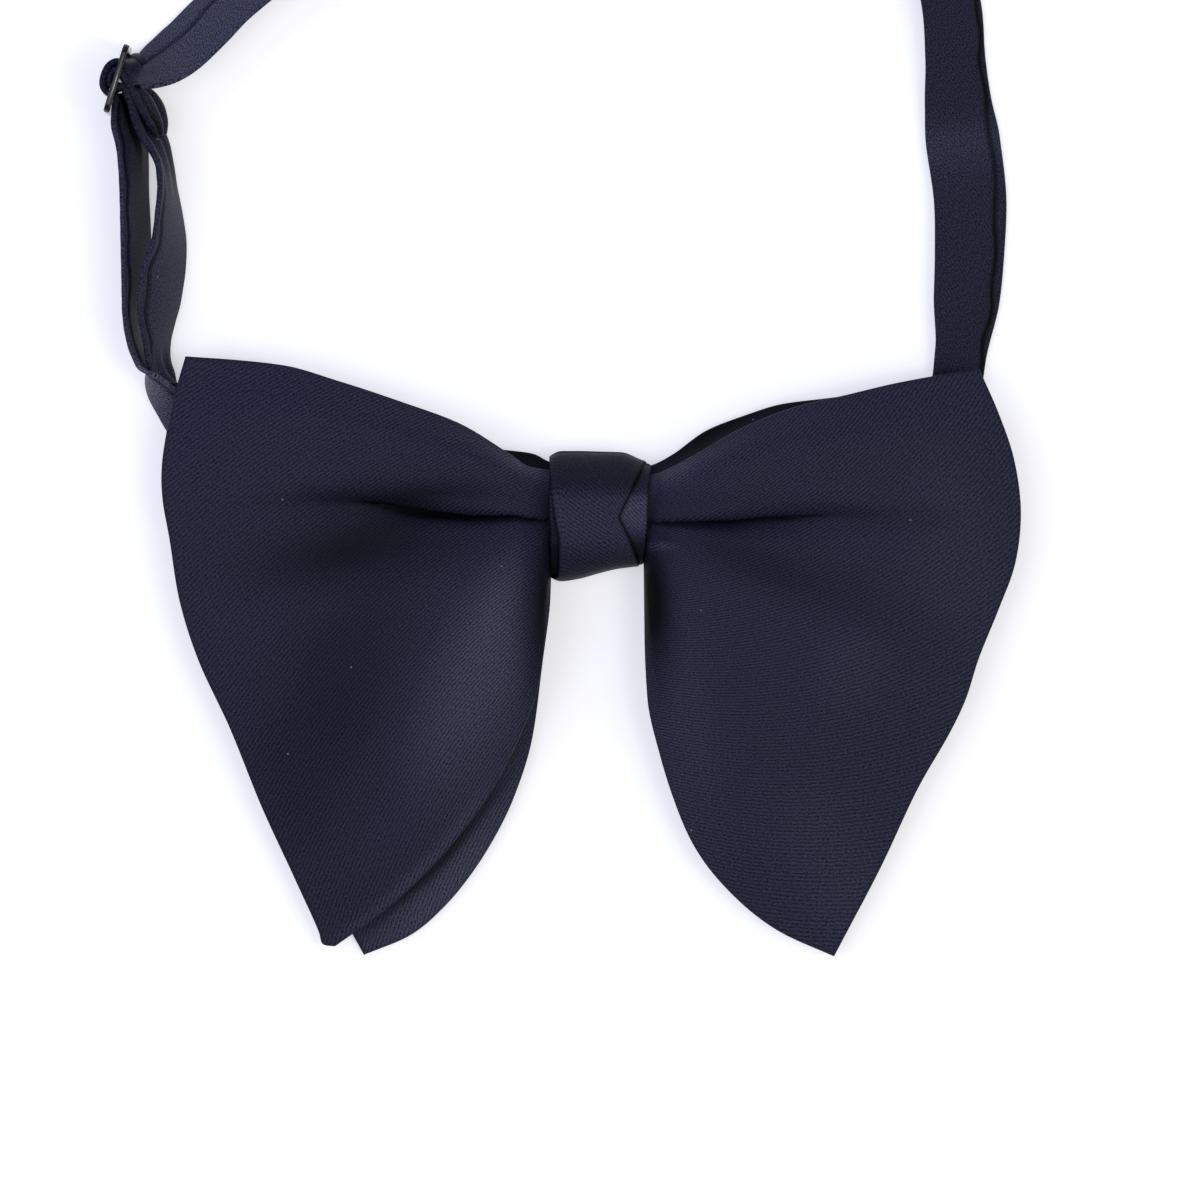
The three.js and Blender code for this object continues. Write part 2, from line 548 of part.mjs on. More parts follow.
// The adjuster: a flat plate with two slots, one each side of its centre bar
function slideAdjuster() {
  const height = slotLength + 2 * sliderRail;
  const slot = (sliderWidth - 3 * sliderBar) / 2;
  const bevel = sliderBevel;
  const flatWidth = sliderWidth - 2 * bevel;
  const outline = roundedBox(new THREE.Shape(), 0, 0, flatWidth, height - 2 * bevel, sliderCorner);
  for (const side of [-1, 1]) {
    const x = (side * (slot + sliderBar)) / 2;
    const hole = new THREE.Path();
    outline.holes.push(roundedBox(hole, x, 0, slot + 2 * bevel, slotLength + 2 * bevel, slotCorner));
  }
  const plate = new THREE.ExtrudeGeometry(outline, {
    depth: sliderPlate - 2 * bevel,
    bevelEnabled: true,
    bevelThickness: bevel,
    bevelSize: bevel,
    bevelSegments: 1,
    curveSegments: 3,
  });
  plate.deleteAttribute("normal");
  plate.deleteAttribute("uv");
  plate.translate(0, 0, -(sliderPlate - 2 * bevel) / 2);
  const merged = mergeVertices(plate, 1e-4);
  merged.computeVertexNormals();
  return merged;
}

// The materials
const navySatin = { color: 0x272a41, roughness: 0.55, metalness: 0 };
const navySatinRear = { color: 0x22243a, roughness: 0.55, metalness: 0 };
const blackPlastic = { color: 0x111216, roughness: 0.2, metalness: 0 };

function piece(name, geometry, finish) {
  const mesh = new THREE.Mesh(geometry, new THREE.MeshStandardMaterial(finish));
  mesh.name = name;
  return mesh;
}

// The assembly
const bowTie = new THREE.Group();
bowTie.add(piece("front_bow", bowSheet(frontLeft, frontRight, 2), navySatin));
bowTie.add(piece("rear_bow", bowSheet(rearLeft, rearRight, 1), navySatinRear));
bowTie.add(piece("knot", knotBand(), navySatin));
bowTie.add(piece("neck_strap", neckStrap(), navySatin));

const slider = piece("slide_adjuster", slideAdjuster(), blackPlastic);
slider.rotation.set(Math.PI / 2, 0, sliderTurn, "ZYX");
slider.position.set(sliderCentre.x, sliderCentre.y, slotLength / 2 + sliderRail);
bowTie.add(slider);

export default bowTie;
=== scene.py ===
# A butterfly bow tie in navy satin, lying on its back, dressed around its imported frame.
# Its frame: +X to the right, +Y towards the neck loop, +Z up off the surface. Tables are in millimetres.
import math

import bpy
import numpy as np
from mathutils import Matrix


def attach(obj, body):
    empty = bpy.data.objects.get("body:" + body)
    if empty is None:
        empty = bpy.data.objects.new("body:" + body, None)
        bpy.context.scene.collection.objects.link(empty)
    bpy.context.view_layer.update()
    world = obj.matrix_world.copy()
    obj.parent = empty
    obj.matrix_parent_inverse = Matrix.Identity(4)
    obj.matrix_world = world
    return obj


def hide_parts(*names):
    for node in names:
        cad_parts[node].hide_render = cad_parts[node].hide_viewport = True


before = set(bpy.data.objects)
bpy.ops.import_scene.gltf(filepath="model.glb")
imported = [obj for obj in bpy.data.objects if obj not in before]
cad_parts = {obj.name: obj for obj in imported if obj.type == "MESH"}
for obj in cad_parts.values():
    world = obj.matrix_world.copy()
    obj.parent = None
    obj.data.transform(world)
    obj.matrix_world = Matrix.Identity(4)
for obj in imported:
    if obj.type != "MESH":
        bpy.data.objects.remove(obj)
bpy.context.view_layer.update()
mm = 0.001


# The camera looks straight down, as in the photograph. Lengths are in metres, the sensor's in millimetres.
view = {
    "centre": (0.0, -0.0147),
    "height": 2.5,
    "frameWidth": 0.210,
    "sensor": 36.0,
    "farthest": 20.0,
}


def placeCamera():
    camera = bpy.data.objects.new("camera", bpy.data.cameras.new("camera"))
    bpy.context.scene.collection.objects.link(camera)
    camera.location = (*view["centre"], view["height"])
    camera.data.sensor_width = view["sensor"]
    camera.data.lens = view["sensor"] * view["height"] / view["frameWidth"]
    camera.data.clip_end = view["farthest"]
    bpy.context.scene.camera = camera
    bpy.context.scene.view_settings.view_transform = "Standard"
    print("camera placed")


# Materials

def linearColour(code):
    # sRGB hex text to linear red, green, blue and alpha
    channels = [int(code[i:i + 2], 16) / 255 for i in (1, 3, 5)]
    linear = [c / 12.92 if c <= 0.04045 else ((c + 0.055) / 1.055) ** 2.4 for c in channels]
    return (*linear, 1.0)


def addNode(tree, kind, settings=None, links=None):
    # a setting is a socket's value, by name or number, or else one of the node's own options
    node = tree.nodes.new(kind)
    for name, value in (settings or {}).items():
        if isinstance(name, int) or name in node.inputs:
            node.inputs[name].default_value = value
        else:
            setattr(node, name, value)
    for name, socket in (links or {}).items():
        tree.links.new(socket, node.inputs[name])
    return node


def emptyMaterial(name):
    material = bpy.data.materials.new(name)
    material.use_nodes = True
    material.node_tree.nodes.clear()
    return material


# Polyester satin woven in a steep twill: slanting lines of long floats, dull navy from straight above and
# with a soft broad shine where the cloth turns towards a light. The real floats are about 0.15 mm wide;
# the lines that the eye sees, and that are drawn here, are groups of them about 0.6 mm apart. A piece's
# "tone" attribute, from -1 to 1, is painted light and shade: below 0 it darkens the cloth towards a painted
# shade colour, in seams, tucks, hollows, along rims and on parts turned from the light, and above 0 it
# lightens it towards a painted highlight colour where the cloth faces a light.
satinLook = {
    "lineSpacing": 0.60 * mm, "twillAngle": math.radians(36),
    "lineWeight": 0.38,  # the rest of the weave is the uneven look of its floats
    "lineWaver": 2.2, "waverDetail": 2.0, "waverScale": 1.3,
    "floatScale": (1.5, 3.4, 1.0),  # along the line, across it and up
    "floatDetail": 2.0, "floatRoughness": 0.7, "floatRange": (0.40, 0.63),
    "light": "#3e3f57", "dark": "#07080d",
    # the painted highlight and painted shade colours that the tone attribute mixes in
    "paintedLight": "#6f7188", "paintedShade": "#030405",
    "lint": "#74768c", "lintSpacing": 34 * mm,
    "lintSize": 0.006,  # a share of its spacing
    "roughness": 0.48, "shine": 0.09,
    "bumpDepth": 0.06 * mm, "bumpStrength": 0.6,
}
# The strap is pressed flat, so its lines are fainter
strapSatinLook = {**satinLook, "lineWeight": 0.15, "bumpDepth": 0.05 * mm}


def satin(name, look):
    # a Mix node's sockets go by number: 0 is the factor, 2 and 3 are the two values, 6 and 7 the two colours
    material = emptyMaterial(name)
    tree = material.node_tree
    cloth = addNode(tree, "ShaderNodeUVMap", {"uv_map": "cloth"})
    perLine = 1 / look["lineSpacing"]
    turned = addNode(tree, "ShaderNodeMapping", {
        "vector_type": "POINT",
        "Rotation": (0.0, 0.0, -look["twillAngle"]),
        "Scale": (perLine, perLine, 1.0),
    }, {"Vector": cloth.outputs["UV"]})
    # one wave a line: the wave texture turns 20 radians for each unit
    lines = addNode(tree, "ShaderNodeTexWave", {
        "wave_type": "BANDS", "bands_direction": "Y", "wave_profile": "SIN",
        "Scale": 2 * math.pi / 20,
        "Distortion": look["lineWaver"], "Detail": look["waverDetail"], "Detail Scale": look["waverScale"],
    }, {"Vector": turned.outputs["Vector"]})
    stretched = addNode(tree, "ShaderNodeMapping", {"vector_type": "POINT", "Scale": look["floatScale"]},
                        {"Vector": turned.outputs["Vector"]})
    floats = addNode(tree, "ShaderNodeTexNoise", {
        "Scale": 1.0, "Detail": look["floatDetail"], "Roughness": look["floatRoughness"],
    }, {"Vector": stretched.outputs["Vector"]})
    faint, strong = look["floatRange"]
    uneven = addNode(tree, "ShaderNodeMapRange", {"From Min": faint, "From Max": strong},
                     {"Value": floats.outputs["Fac"]})
    weave = addNode(tree, "ShaderNodeMix", {"data_type": "FLOAT", 0: look["lineWeight"]},
                    {2: uneven.outputs["Result"], 3: lines.outputs["Fac"]})
    # the tone attribute is painted light and shade: above 0 it mixes in the painted highlight colour, below 0
    # the painted shade colour
    tone = addNode(tree, "ShaderNodeAttribute", {"attribute_name": "tone"})
    paintedLight, paintedShade = (addNode(tree, "ShaderNodeMapRange", {"From Min": 0.0, "From Max": end},
                            {"Value": tone.outputs["Fac"]}) for end in (1.0, -1.0))
    highlighted = addNode(tree, "ShaderNodeMix", {
        "data_type": "RGBA", 6: linearColour(look["light"]), 7: linearColour(look["paintedLight"]),
    }, {0: paintedLight.outputs["Result"]})
    woven = addNode(tree, "ShaderNodeMix", {"data_type": "RGBA", 6: linearColour(look["dark"])},
                    {0: weave.outputs[0], 7: highlighted.outputs[2]})
    shaded = addNode(tree, "ShaderNodeMix", {"data_type": "RGBA", 7: linearColour(look["paintedShade"])},
                     {0: paintedShade.outputs["Result"], 6: woven.outputs[2]})
    spots = addNode(tree, "ShaderNodeTexVoronoi", {
        "voronoi_dimensions": "2D", "Scale": 1 / look["lintSpacing"],
    }, {"Vector": cloth.outputs["UV"]})
    lint = addNode(tree, "ShaderNodeMapRange", {
        "From Min": look["lintSize"], "From Max": 0.5 * look["lintSize"],
    }, {"Value": spots.outputs["Distance"]})
    colour = addNode(tree, "ShaderNodeMix", {"data_type": "RGBA", 7: linearColour(look["lint"])},
                     {0: lint.outputs["Result"], 6: shaded.outputs[2]})
    relief = addNode(tree, "ShaderNodeBump", {"Strength": look["bumpStrength"], "Distance": look["bumpDepth"]},
                     {"Height": weave.outputs[0]})
    shader = addNode(tree, "ShaderNodeBsdfPrincipled", {
        "Roughness": look["roughness"], "Specular IOR Level": look["shine"],
    }, {"Base Color": colour.outputs[2], "Normal": relief.outputs["Normal"]})
    addNode(tree, "ShaderNodeOutputMaterial", None, {"Surface": shader.outputs["BSDF"]})
    return material


# Acetal, moulded and polished, so it shows sharp small highlights, broken a little by the moulding's flow
sliderLook = {
    "colour": "#08090b",
    "roughness": 0.12, "ior": 1.48,
    "flowScale": 420.0, "flowDetail": 3.0,  # to the metre, so its waves are about 2.4 mm long
    "flowDepth": 0.02 * mm, "flowStrength": 0.3,
}


def blackAcetal(name, look):
    material = emptyMaterial(name)
    tree = material.node_tree
    place = addNode(tree, "ShaderNodeTexCoord")
    flow = addNode(tree, "ShaderNodeTexNoise", {"Scale": look["flowScale"], "Detail": look["flowDetail"]},
                   {"Vector": place.outputs["Object"]})
    relief = addNode(tree, "ShaderNodeBump", {"Strength": look["flowStrength"], "Distance": look["flowDepth"]},
                     {"Height": flow.outputs["Fac"]})
    shader = addNode(tree, "ShaderNodeBsdfPrincipled", {
        "Base Color": linearColour(look["colour"]), "Roughness": look["roughness"], "IOR": look["ior"],
    }, {"Normal": relief.outputs["Normal"]})
    addNode(tree, "ShaderNodeOutputMaterial", None, {"Surface": shader.outputs["BSDF"]})
    return material


# Curves and nets

def table(columns, rows):
    return {name: np.array([row[i] for row in rows], float) for i, name in enumerate(columns)}


def smooth(knots, values, at):
    # a curve through values at rising knots that never overshoots them
    knots, values = np.asarray(knots, float), np.asarray(values, float)
    at = np.clip(at, knots[0], knots[-1])
    slopes = np.diff(values) / np.diff(knots)
    before, after = slopes[:-1], slopes[1:]
    total = np.where(before * after > 0, before + after, 1.0)
    inner = np.where(before * after > 0, 2 * before * after / total, 0.0)
    tangents = np.concatenate([slopes[:1], inner, slopes[-1:]])
    i = np.clip(np.searchsorted(knots, at, side="right") - 1, 0, len(knots) - 2)
    span = knots[i + 1] - knots[i]
    s = (at - knots[i]) / span
    rise = (3 - 2 * s) * s * s
    start = s * (1 - s) ** 2 * span * tangents[i]
    end = s * s * (1 - s) * span * tangents[i + 1]
    return values[i] + (values[i + 1] - values[i]) * rise + start - end


def column(rows, name, at):
    return smooth(np.arange(len(rows[name])), rows[name], at)


def bell(distance, width):
    # 1 at no distance, and next to nothing from twice the width on
    return np.exp(-(distance / width) ** 2)


def ramp(value, start, end):
    # 0 up to the start, and 1 from the end on
    return np.clip((value - start) / (end - start), 0, 1)


def throughPoints(points, places):
    # a rounded curve through all the points: place 2.5 is midway from the third to the fourth
    points = np.asarray(points, float)
    ends = np.array([2 * points[0] - points[1], *points, 2 * points[-1] - points[-2]])
    i = np.clip(np.floor(places).astype(int), 0, len(points) - 2)
    w = (places - i)[:, None]
    p0, p1, p2, p3 = ends[i], ends[i + 1], ends[i + 2], ends[i + 3]
    spans = (np.linalg.norm(b - a, axis=1) for a, b in ((p0, p1), (p1, p2), (p2, p3)))
    d0, d1, d2 = (np.sqrt(np.maximum(span, 1e-9))[:, None] for span in spans)
    t1 = ((p1 - p0) / d0 - (p2 - p0) / (d0 + d1) + (p2 - p1) / d1) * d1
    t2 = ((p2 - p1) / d1 - (p3 - p1) / (d1 + d2) + (p3 - p2) / d2) * d1
    square = -3 * p1 + 3 * p2 - 2 * t1 - t2
    cube = 2 * p1 - 2 * p2 + t1 + t2
    return p1 + t1 * w + square * w ** 2 + cube * w ** 3


def gridNormals(grid, ring=False):
    # a ring's last row is followed by its first
    if ring:
        along = np.roll(grid, -1, axis=0) - np.roll(grid, 1, axis=0)
    else:
        along = np.gradient(grid, axis=0)
    across = np.gradient(grid, axis=1)
    normals = np.cross(along, across)
    return normals / np.maximum(np.linalg.norm(normals, axis=2, keepdims=True), 1e-12)


def lengths(grid, axis):
    # distance along the net's lines from its first row or column
    steps = np.linalg.norm(np.diff(grid, axis=axis), axis=2)
    start = np.zeros_like(np.take(steps, [0], axis=axis))
    return np.concatenate([start, np.cumsum(steps, axis=axis)], axis=axis)


def roundedHalf(distance, half):
    # half the thickness, which falls to nothing on a round edge
    inward = np.clip(distance / half, 0, 1)
    return half * np.sqrt(1 - (1 - inward) ** 2)


def closedCloth(name, middle, half, uv, tone, relief=None, ring=False, bothFaces=False):
    # A net is given a front and a back layer, half a thickness each side, which share the open borders. The
    # relief and the tone are on the front layer, or on both.
    rows, columns, _ = middle.shape
    normals = gridNormals(middle, ring)
    lift = half if relief is None else half + relief
    front = (middle + normals * lift[..., None]).reshape(-1, 3)
    back = (middle - normals * (lift if bothFaces else half)[..., None]).reshape(-1, 3)
    border = np.zeros((rows, columns), bool)
    border[:, [0, -1]] = True
    if not ring:
        border[[0, -1], :] = True
    frontIndex = np.arange(rows * columns).reshape(rows, columns)
    backIndex = frontIndex.copy()
    inside = ~border
    backIndex[inside] = rows * columns + np.arange(inside.sum())
    points = np.concatenate([front, back[inside.ravel()]])
    i = np.arange(rows if ring else rows - 1)
    after = (i + 1) % rows
    j = np.arange(columns - 1)

    def quads(index):
        corners = [index[i][:, j], index[after][:, j], index[after][:, j + 1], index[i][:, j + 1]]
        return np.stack(corners, axis=-1).reshape(-1, 4)

    def quadUv():
        corners = [uv[i][:, j], uv[i + 1][:, j], uv[i + 1][:, j + 1], uv[i][:, j + 1]]
        return np.stack(corners, axis=-2).reshape(-1, 4, 2)

    faces = np.concatenate([quads(frontIndex), quads(backIndex)[:, ::-1]])
    faceUv = np.concatenate([quadUv(), quadUv()[:, ::-1]])
    a, b, c, d = (points[faces[:, k]] for k in range(4))
    volume = (np.cross(b - a, c - a) * a).sum() + (np.cross(c - a, d - a) * a).sum()
    if volume < 0:
        faces, faceUv = faces[:, ::-1], faceUv[:, ::-1]
    mesh = bpy.data.meshes.new(name)
    mesh.from_pydata(points.tolist(), [], faces.tolist())
    mesh.uv_layers.new(name="cloth").data.foreach_set("uv", faceUv.reshape(-1))
    mesh.polygons.foreach_set("use_smooth", np.ones(len(faces), bool))
    tones = np.zeros(len(points), np.float32)
    tones[:rows * columns] = tone.reshape(-1)
    if bothFaces:
        tones[rows * columns:] = tone[inside]
    mesh.attributes.new("tone", "FLOAT", "POINT").data.foreach_set("value", tones)
    mesh.update()
    piece = bpy.data.objects.new(name, mesh)
    bpy.context.scene.collection.objects.link(piece)
    return piece


# The bow's two sheets. Ribs fan out from the knot, from the top edge to the lower edge. Each crosses the
# crease at the share "fold" of its length. The upper puff hangs over the crease by "lip", and the crease
# is "groove" deeper than zFold. "wedge" is how wide a painted shade reaches into the hollow under the lip
# at each rib.
ribColumns = [
    "topX", "topY", "lowX", "lowY", "fold", "zTop", "zUpper", "zFold", "zLower", "zLow", "lip", "groove",
]
frontLeft = {
    "wedge": [0.0, 0.5, 1.0, 1.4, 1.9, 2.3, 0.1, 0.0, 0.0, 0.0],
    "ribs": table(ribColumns, [
        [0.0, 6.6, 0.0, -6.8, 0.49, 9.4, 10.6, 8.8, 10.6, 9.2, 0.0, 0.0],
        [-8.9, 7.9, -8.9, -8.2, 0.51, 9.8, 11.4, 9.0, 11.4, 9.0, 0.4, 0.0],
        [-12.4, 8.4, -9.3, -14.5, 0.355, 11.2, 13.6, 9.6, 13.2, 11.4, 0.8, 0.3],
        [-16.6, 11.1, -9.8, -21.7, 0.30, 12.2, 15.4, 10.6, 14.8, 12.4, 1.2, 0.6],
        [-24.8, 16.1, -11.0, -30.4, 0.31, 12.4, 16.6, 11.4, 16.2, 12.2, 1.5, 0.9],
        [-35.0, 19.9, -13.8, -38.0, 0.295, 12.2, 16.4, 12.0, 16.6, 10.2, 1.3, 0.8],
        [-45.5, 23.4, -19.8, -49.3, 0.276, 11.8, 15.4, 13.2, 16.2, 7.0, 0.0, 0.0],
        [-55.1, 26.2, -28.0, -59.8, 0.27, 11.2, 14.0, 13.0, 14.6, 6.2, 0.0, 0.0],
        [-63.9, 27.2, -36.6, -68.1, 0.27, 10.2, 12.2, 11.8, 12.0, 5.2, 0.0, 0.0],
        [-72.3, 27.8, -46.3, -75.2, 0.27, 9.2, 9.6, 9.2, 8.4, 4.4, 0.0, 0.0],
    ]),
    "edge": [
        [-72.3, 27.8], [-74.6, 19.4], [-76.4, 8.8], [-76.3, 3.0], [-75.1, -4.0], [-73.3, -15.0], [-70.1, -25.1],
        [-64.6, -37.0], [-59.1, -50.7], [-53.1, -63.8], [-49.1, -72.8], [-48.5, -74.8], [-46.3, -75.2],
    ],
}
frontRight = {
    "wedge": [0.0, 0.4, 0.7, 1.0, 1.4, 1.3, 0.0, 0.0, 0.0, 0.0],
    "ribs": table(ribColumns, [
        [0.0, 6.6, 0.0, -6.8, 0.49, 9.4, 10.6, 8.8, 10.6, 9.2, 0.0, 0.0],
        [9.3, 7.1, 8.0, -6.9, 0.57, 9.4, 11.4, 9.0, 11.4, 9.0, 0.3, 0.0],
        [11.9, 8.0, 8.1, -14.7, 0.376, 11.2, 13.2, 9.6, 13.2, 10.2, 0.6, 0.3],
        [16.8, 10.6, 8.1, -22.6, 0.323, 12.0, 15.0, 10.8, 14.8, 10.6, 0.9, 0.5],
        [24.8, 15.2, 8.5, -32.2, 0.315, 12.4, 16.4, 11.6, 16.4, 10.0, 1.0, 0.7],
        [33.8, 18.8, 10.7, -42.3, 0.292, 12.2, 16.4, 12.8, 16.8, 8.6, 0.8, 0.6],
        [42.9, 21.0, 16.1, -57.0, 0.264, 11.8, 15.4, 13.8, 16.2, 7.0, 0.0, 0.0],
        [51.6, 23.1, 22.6, -65.6, 0.26, 11.2, 14.0, 13.4, 14.6, 6.2, 0.0, 0.0],
        [59.1, 24.5, 30.8, -72.3, 0.25, 10.2, 12.2, 12.0, 12.0, 5.2, 0.0, 0.0],
        [66.1, 25.7, 40.9, -77.0, 0.25, 8.8, 9.4, 9.2, 8.4, 4.2, 0.0, 0.0],
    ]),
    "edge": [
        [66.1, 25.7], [69.5, 17.9], [72.2, 9.9], [73.4, 0.5], [72.4, -8.4], [69.5, -16.4], [66.0, -25.1],
        [63.8, -32.0], [61.0, -37.9], [55.5, -47.5], [49.1, -61.2], [43.6, -71.8], [40.9, -77.0],
    ],
}
rearLeft = {
    "wedge": [0.0] * 10,
    "ribs": table(ribColumns, [
        [0.0, 6.8, 0.0, -6.8, 0.5, 6.0, 6.6, 6.0, 6.6, 6.0, 0.0, 0.0],
        [-8.9, 9.5, -8.9, -8.1, 0.5, 6.0, 6.6, 6.0, 6.6, 5.8, 0.0, 0.0],
        [-11.8, 10.9, -9.1, -15.6, 0.45, 6.2, 7.0, 6.1, 6.8, 5.1, 0.0, 0.0],
        [-21.0, 12.1, -10.3, -26.6, 0.4, 6.4, 7.4, 6.2, 7.2, 4.6, 0.0, 0.0],
        [-28.0, 14.7, -11.9, -38.8, 0.36, 6.6, 8.0, 6.6, 7.4, 4.0, 0.0, 0.0],
        [-36.8, 18.2, -15.1, -49.3, 0.34, 6.8, 8.4, 7.0, 7.4, 3.4, 0.0, 0.0],
        [-45.5, 21.0, -20.6, -59.8, 0.32, 6.8, 8.2, 7.2, 7.0, 2.8, 0.0, 0.0],
        [-54.2, 23.1, -27.1, -68.2, 0.3, 6.6, 7.8, 7.2, 6.8, 2.4, 0.0, 0.0],
        [-62.1, 24.3, -33.1, -73.3, 0.3, 6.8, 7.4, 6.8, 5.6, 1.8, 0.0, 0.0],
        [-69.1, 25.0, -41.3, -76.8, 0.3, 7.2, 7.2, 6.2, 4.2, 1.4, 0.0, 0.0],
    ]),
    "edge": [
        [-69.1, 25.0], [-71.4, 16.8], [-72.6, 6.3], [-71.8, -4.2], [-69.6, -15.6], [-66.1, -26.1],
        [-61.2, -37.4], [-55.1, -49.7], [-49.0, -61.9], [-44.6, -70.7], [-41.3, -76.8],
    ],
}
rearRight = {
    "wedge": [0.0] * 10,
    "ribs": table(ribColumns, [
        [0.0, 6.8, 0.0, -6.8, 0.5, 6.0, 6.6, 6.0, 6.6, 6.0, 0.0, 0.0],
        [9.4, 9.0, 8.1, -6.9, 0.5, 6.0, 6.8, 6.0, 6.8, 6.0, 0.0, 0.0],
        [12.8, 10.8, 8.9, -14.7, 0.45, 6.2, 7.2, 6.1, 7.0, 5.2, 0.0, 0.0],
        [18.5, 14.9, 9.6, -22.6, 0.42, 6.4, 7.8, 6.2, 7.4, 4.8, 0.0, 0.0],
        [24.8, 17.4, 10.1, -32.2, 0.38, 6.6, 8.6, 6.6, 8.6, 4.6, 0.0, 0.0],
        [32.0, 19.6, 12.4, -41.8, 0.34, 6.8, 8.6, 7.0, 8.4, 4.0, 0.0, 0.0],
        [40.1, 20.6, 17.7, -56.0, 0.3, 6.8, 8.4, 7.2, 7.8, 3.2, 0.0, 0.0],
        [49.0, 21.7, 24.0, -64.0, 0.28, 6.6, 7.8, 7.2, 6.8, 2.4, 0.0, 0.0],
        [56.0, 22.8, 31.8, -70.5, 0.28, 6.4, 7.2, 6.8, 5.6, 1.8, 0.0, 0.0],
        [63.0, 23.1, 39.9, -74.2, 0.28, 6.2, 6.4, 6.0, 4.2, 1.4, 0.0, 0.0],
    ]),
    "edge": [
        [63.0, 23.1], [66.5, 15.9], [69.3, 8.0], [70.7, 0.2], [69.6, -7.7], [66.8, -15.7], [63.3, -24.3],
        [58.1, -37.1], [52.8, -46.5], [46.5, -59.8], [41.6, -68.9], [39.9, -74.2],
    ],
}

sheetLook = {
    "half": 0.55,  # of a sheet's thickness
    "columns": 92, "rowsAbove": 44, "rowsBelow": 76, "edgeSamples": 600,
    # a rib's heights: the puff and the brink of its lip at shares of the part above the fold, then the inner
    # slope, the dome and the hem at shares of the part below it
    "puff": 0.42, "brink": 0.9, "brinkOfPuff": 0.7,
    "slope": 0.12, "slopeOfFold": 0.45, "dome": 0.38, "hem": 0.84,
    # the lip's reach, and how far the painted shade under it fades below (wedgeFade) and above (lipFade); then
    # a painted shade along the rims, its width, and the range of the painted tone
    "lipWidth": 0.8, "lipFade": 0.5, "wedgeFade": 0.8,
    "rimTone": 0.35, "rimWidth": 0.45, "toneRange": (-0.95, 0.6),
    # soft waves: radians to the millimetre on x and on y, where each starts, and its height
    "drape": [(0.31, 0.17, 0.4, 0.10), (-0.12, 0.38, 1.9, 0.08), (0.52, -0.29, 3.1, 0.04)],
}
# Where the cloth's grain fans out from: x of the far point, and the radius at which it keeps its scale
grain = {"left": {"apex": 75.0, "radius": 120.0}, "right": {"apex": -30.0, "radius": 75.0}}


def grainUv(x, y, side):
    # a place on the cloth along its grain and across it
    fan = grain[side]
    away = -1.0 if fan["apex"] > 0 else 1.0
    along = away * (x - fan["apex"])
    reach = np.hypot(along, y)
    turn = np.arctan2(y, along)
    return np.stack([away * reach + fan["apex"], fan["radius"] * turn], axis=-1) * mm


# Soft raised and sunk patches of the cloth, each longer along its angle than across, with their tone: a painted
# light where it is above 0 and a painted shade where it is below 0
bumpColumns = ["x", "y", "length", "width", "angle", "height", "tone"]
frontBumps = table(bumpColumns, [
    [-22.0, -29.0, 20.0, 9.5, 66, 1.6, 0.56],
    [-47.0, -6.5, 16.0, 4.5, 20, -0.6, -0.34],
    [-17.5, -15.0, 9.0, 3.5, 70, 0.6, 0.22],
    [-46.0, -32.0, 34.0, 13.0, 66, -0.6, -0.46],
    [-40.0, -4.5, 24.0, 6.0, 4, -0.8, -0.30],
    [-44.0, 3.2, 12.0, 2.6, 2, -0.5, -0.34],
    [-31.0, 3.6, 9.0, 1.7, 4, -0.3, -0.40],
    [-9.6, -15.5, 14.0, 3.3, 86, 0.0, -1.05],
    [9.4, -15.0, 10.5, 3.0, 93, -0.6, -1.20],
    [10.2, -5.2, 3.0, 0.8, -6, 0.8, 0.50],
    [14.5, -36.0, 24.0, 5.5, 97, 0.4, 0.16],
    [29.0, -8.5, 13.0, 4.5, -22, -1.0, -0.38],
    [44.0, -26.0, 9.0, 6.0, 70, 1.0, 0.12],
    [43.0, 0.2, 14.0, 2.4, -3, -0.4, -0.26],
    [-42.0, -70.8, 7.0, 1.1, 36, 0.0, 0.22],
    [-33.0, -63.1, 7.0, 1.2, 43, 0.0, 0.30],
    [-24.7, -53.8, 8.0, 1.2, 52, 0.0, 0.24],
    [47.0, -15.0, 14.0, 4.0, -35, -0.5, -0.16],
    [-13.5, 8.2, 4.5, 1.6, -20, 0.6, 0.35],
    [13.4, 7.2, 5.0, 1.6, 28, 0.6, 0.35],
    [-48.0, -66.0, 16.0, 8.0, 62, 0.0, -0.07],
    [41.0, -64.0, 18.0, 9.0, 112, 0.0, 0.14],
    [62.0, -8.0, 20.0, 9.0, 90, 0.0, 0.10],
])
# On the rear sheet: painted shade on its top edge beside the knot, which lies in the front sheet's shade, a
# painted light on the left tip, and two narrow painted shadows cast there by the front sheet's edge
rearBumps = table(bumpColumns, [
    [16.5, 12.5, 11.0, 4.0, 32, -2.0, -0.74],
    [31.0, 18.6, 15.0, 4.0, 14, -2.0, -0.62],
    [-13.0, 10.4, 9.0, 3.0, -14, -1.0, -0.90],
    [-26.0, -65.0, 26.0, 8.0, 50, 0.0, 0.52],
    [-32.1, -64.3, 9.0, 0.8, 43, 0.0, -0.95],
    [-23.5, -55.0, 9.0, 0.8, 52, 0.0, -0.95],
])


def bumpField(x, y, bumps, name):
    # what all the patches together add to the height or the tone
    total = np.zeros_like(x)
    for i, angle in enumerate(np.radians(bumps["angle"])):
        dx, dy = x - bumps["x"][i], y - bumps["y"][i]
        along = (dx * math.cos(angle) + dy * math.sin(angle)) / bumps["length"][i]
        across = (dy * math.cos(angle) - dx * math.sin(angle)) / bumps["width"][i]
        total += bumps[name][i] * np.exp(-(along ** 2 + across ** 2))
    return total


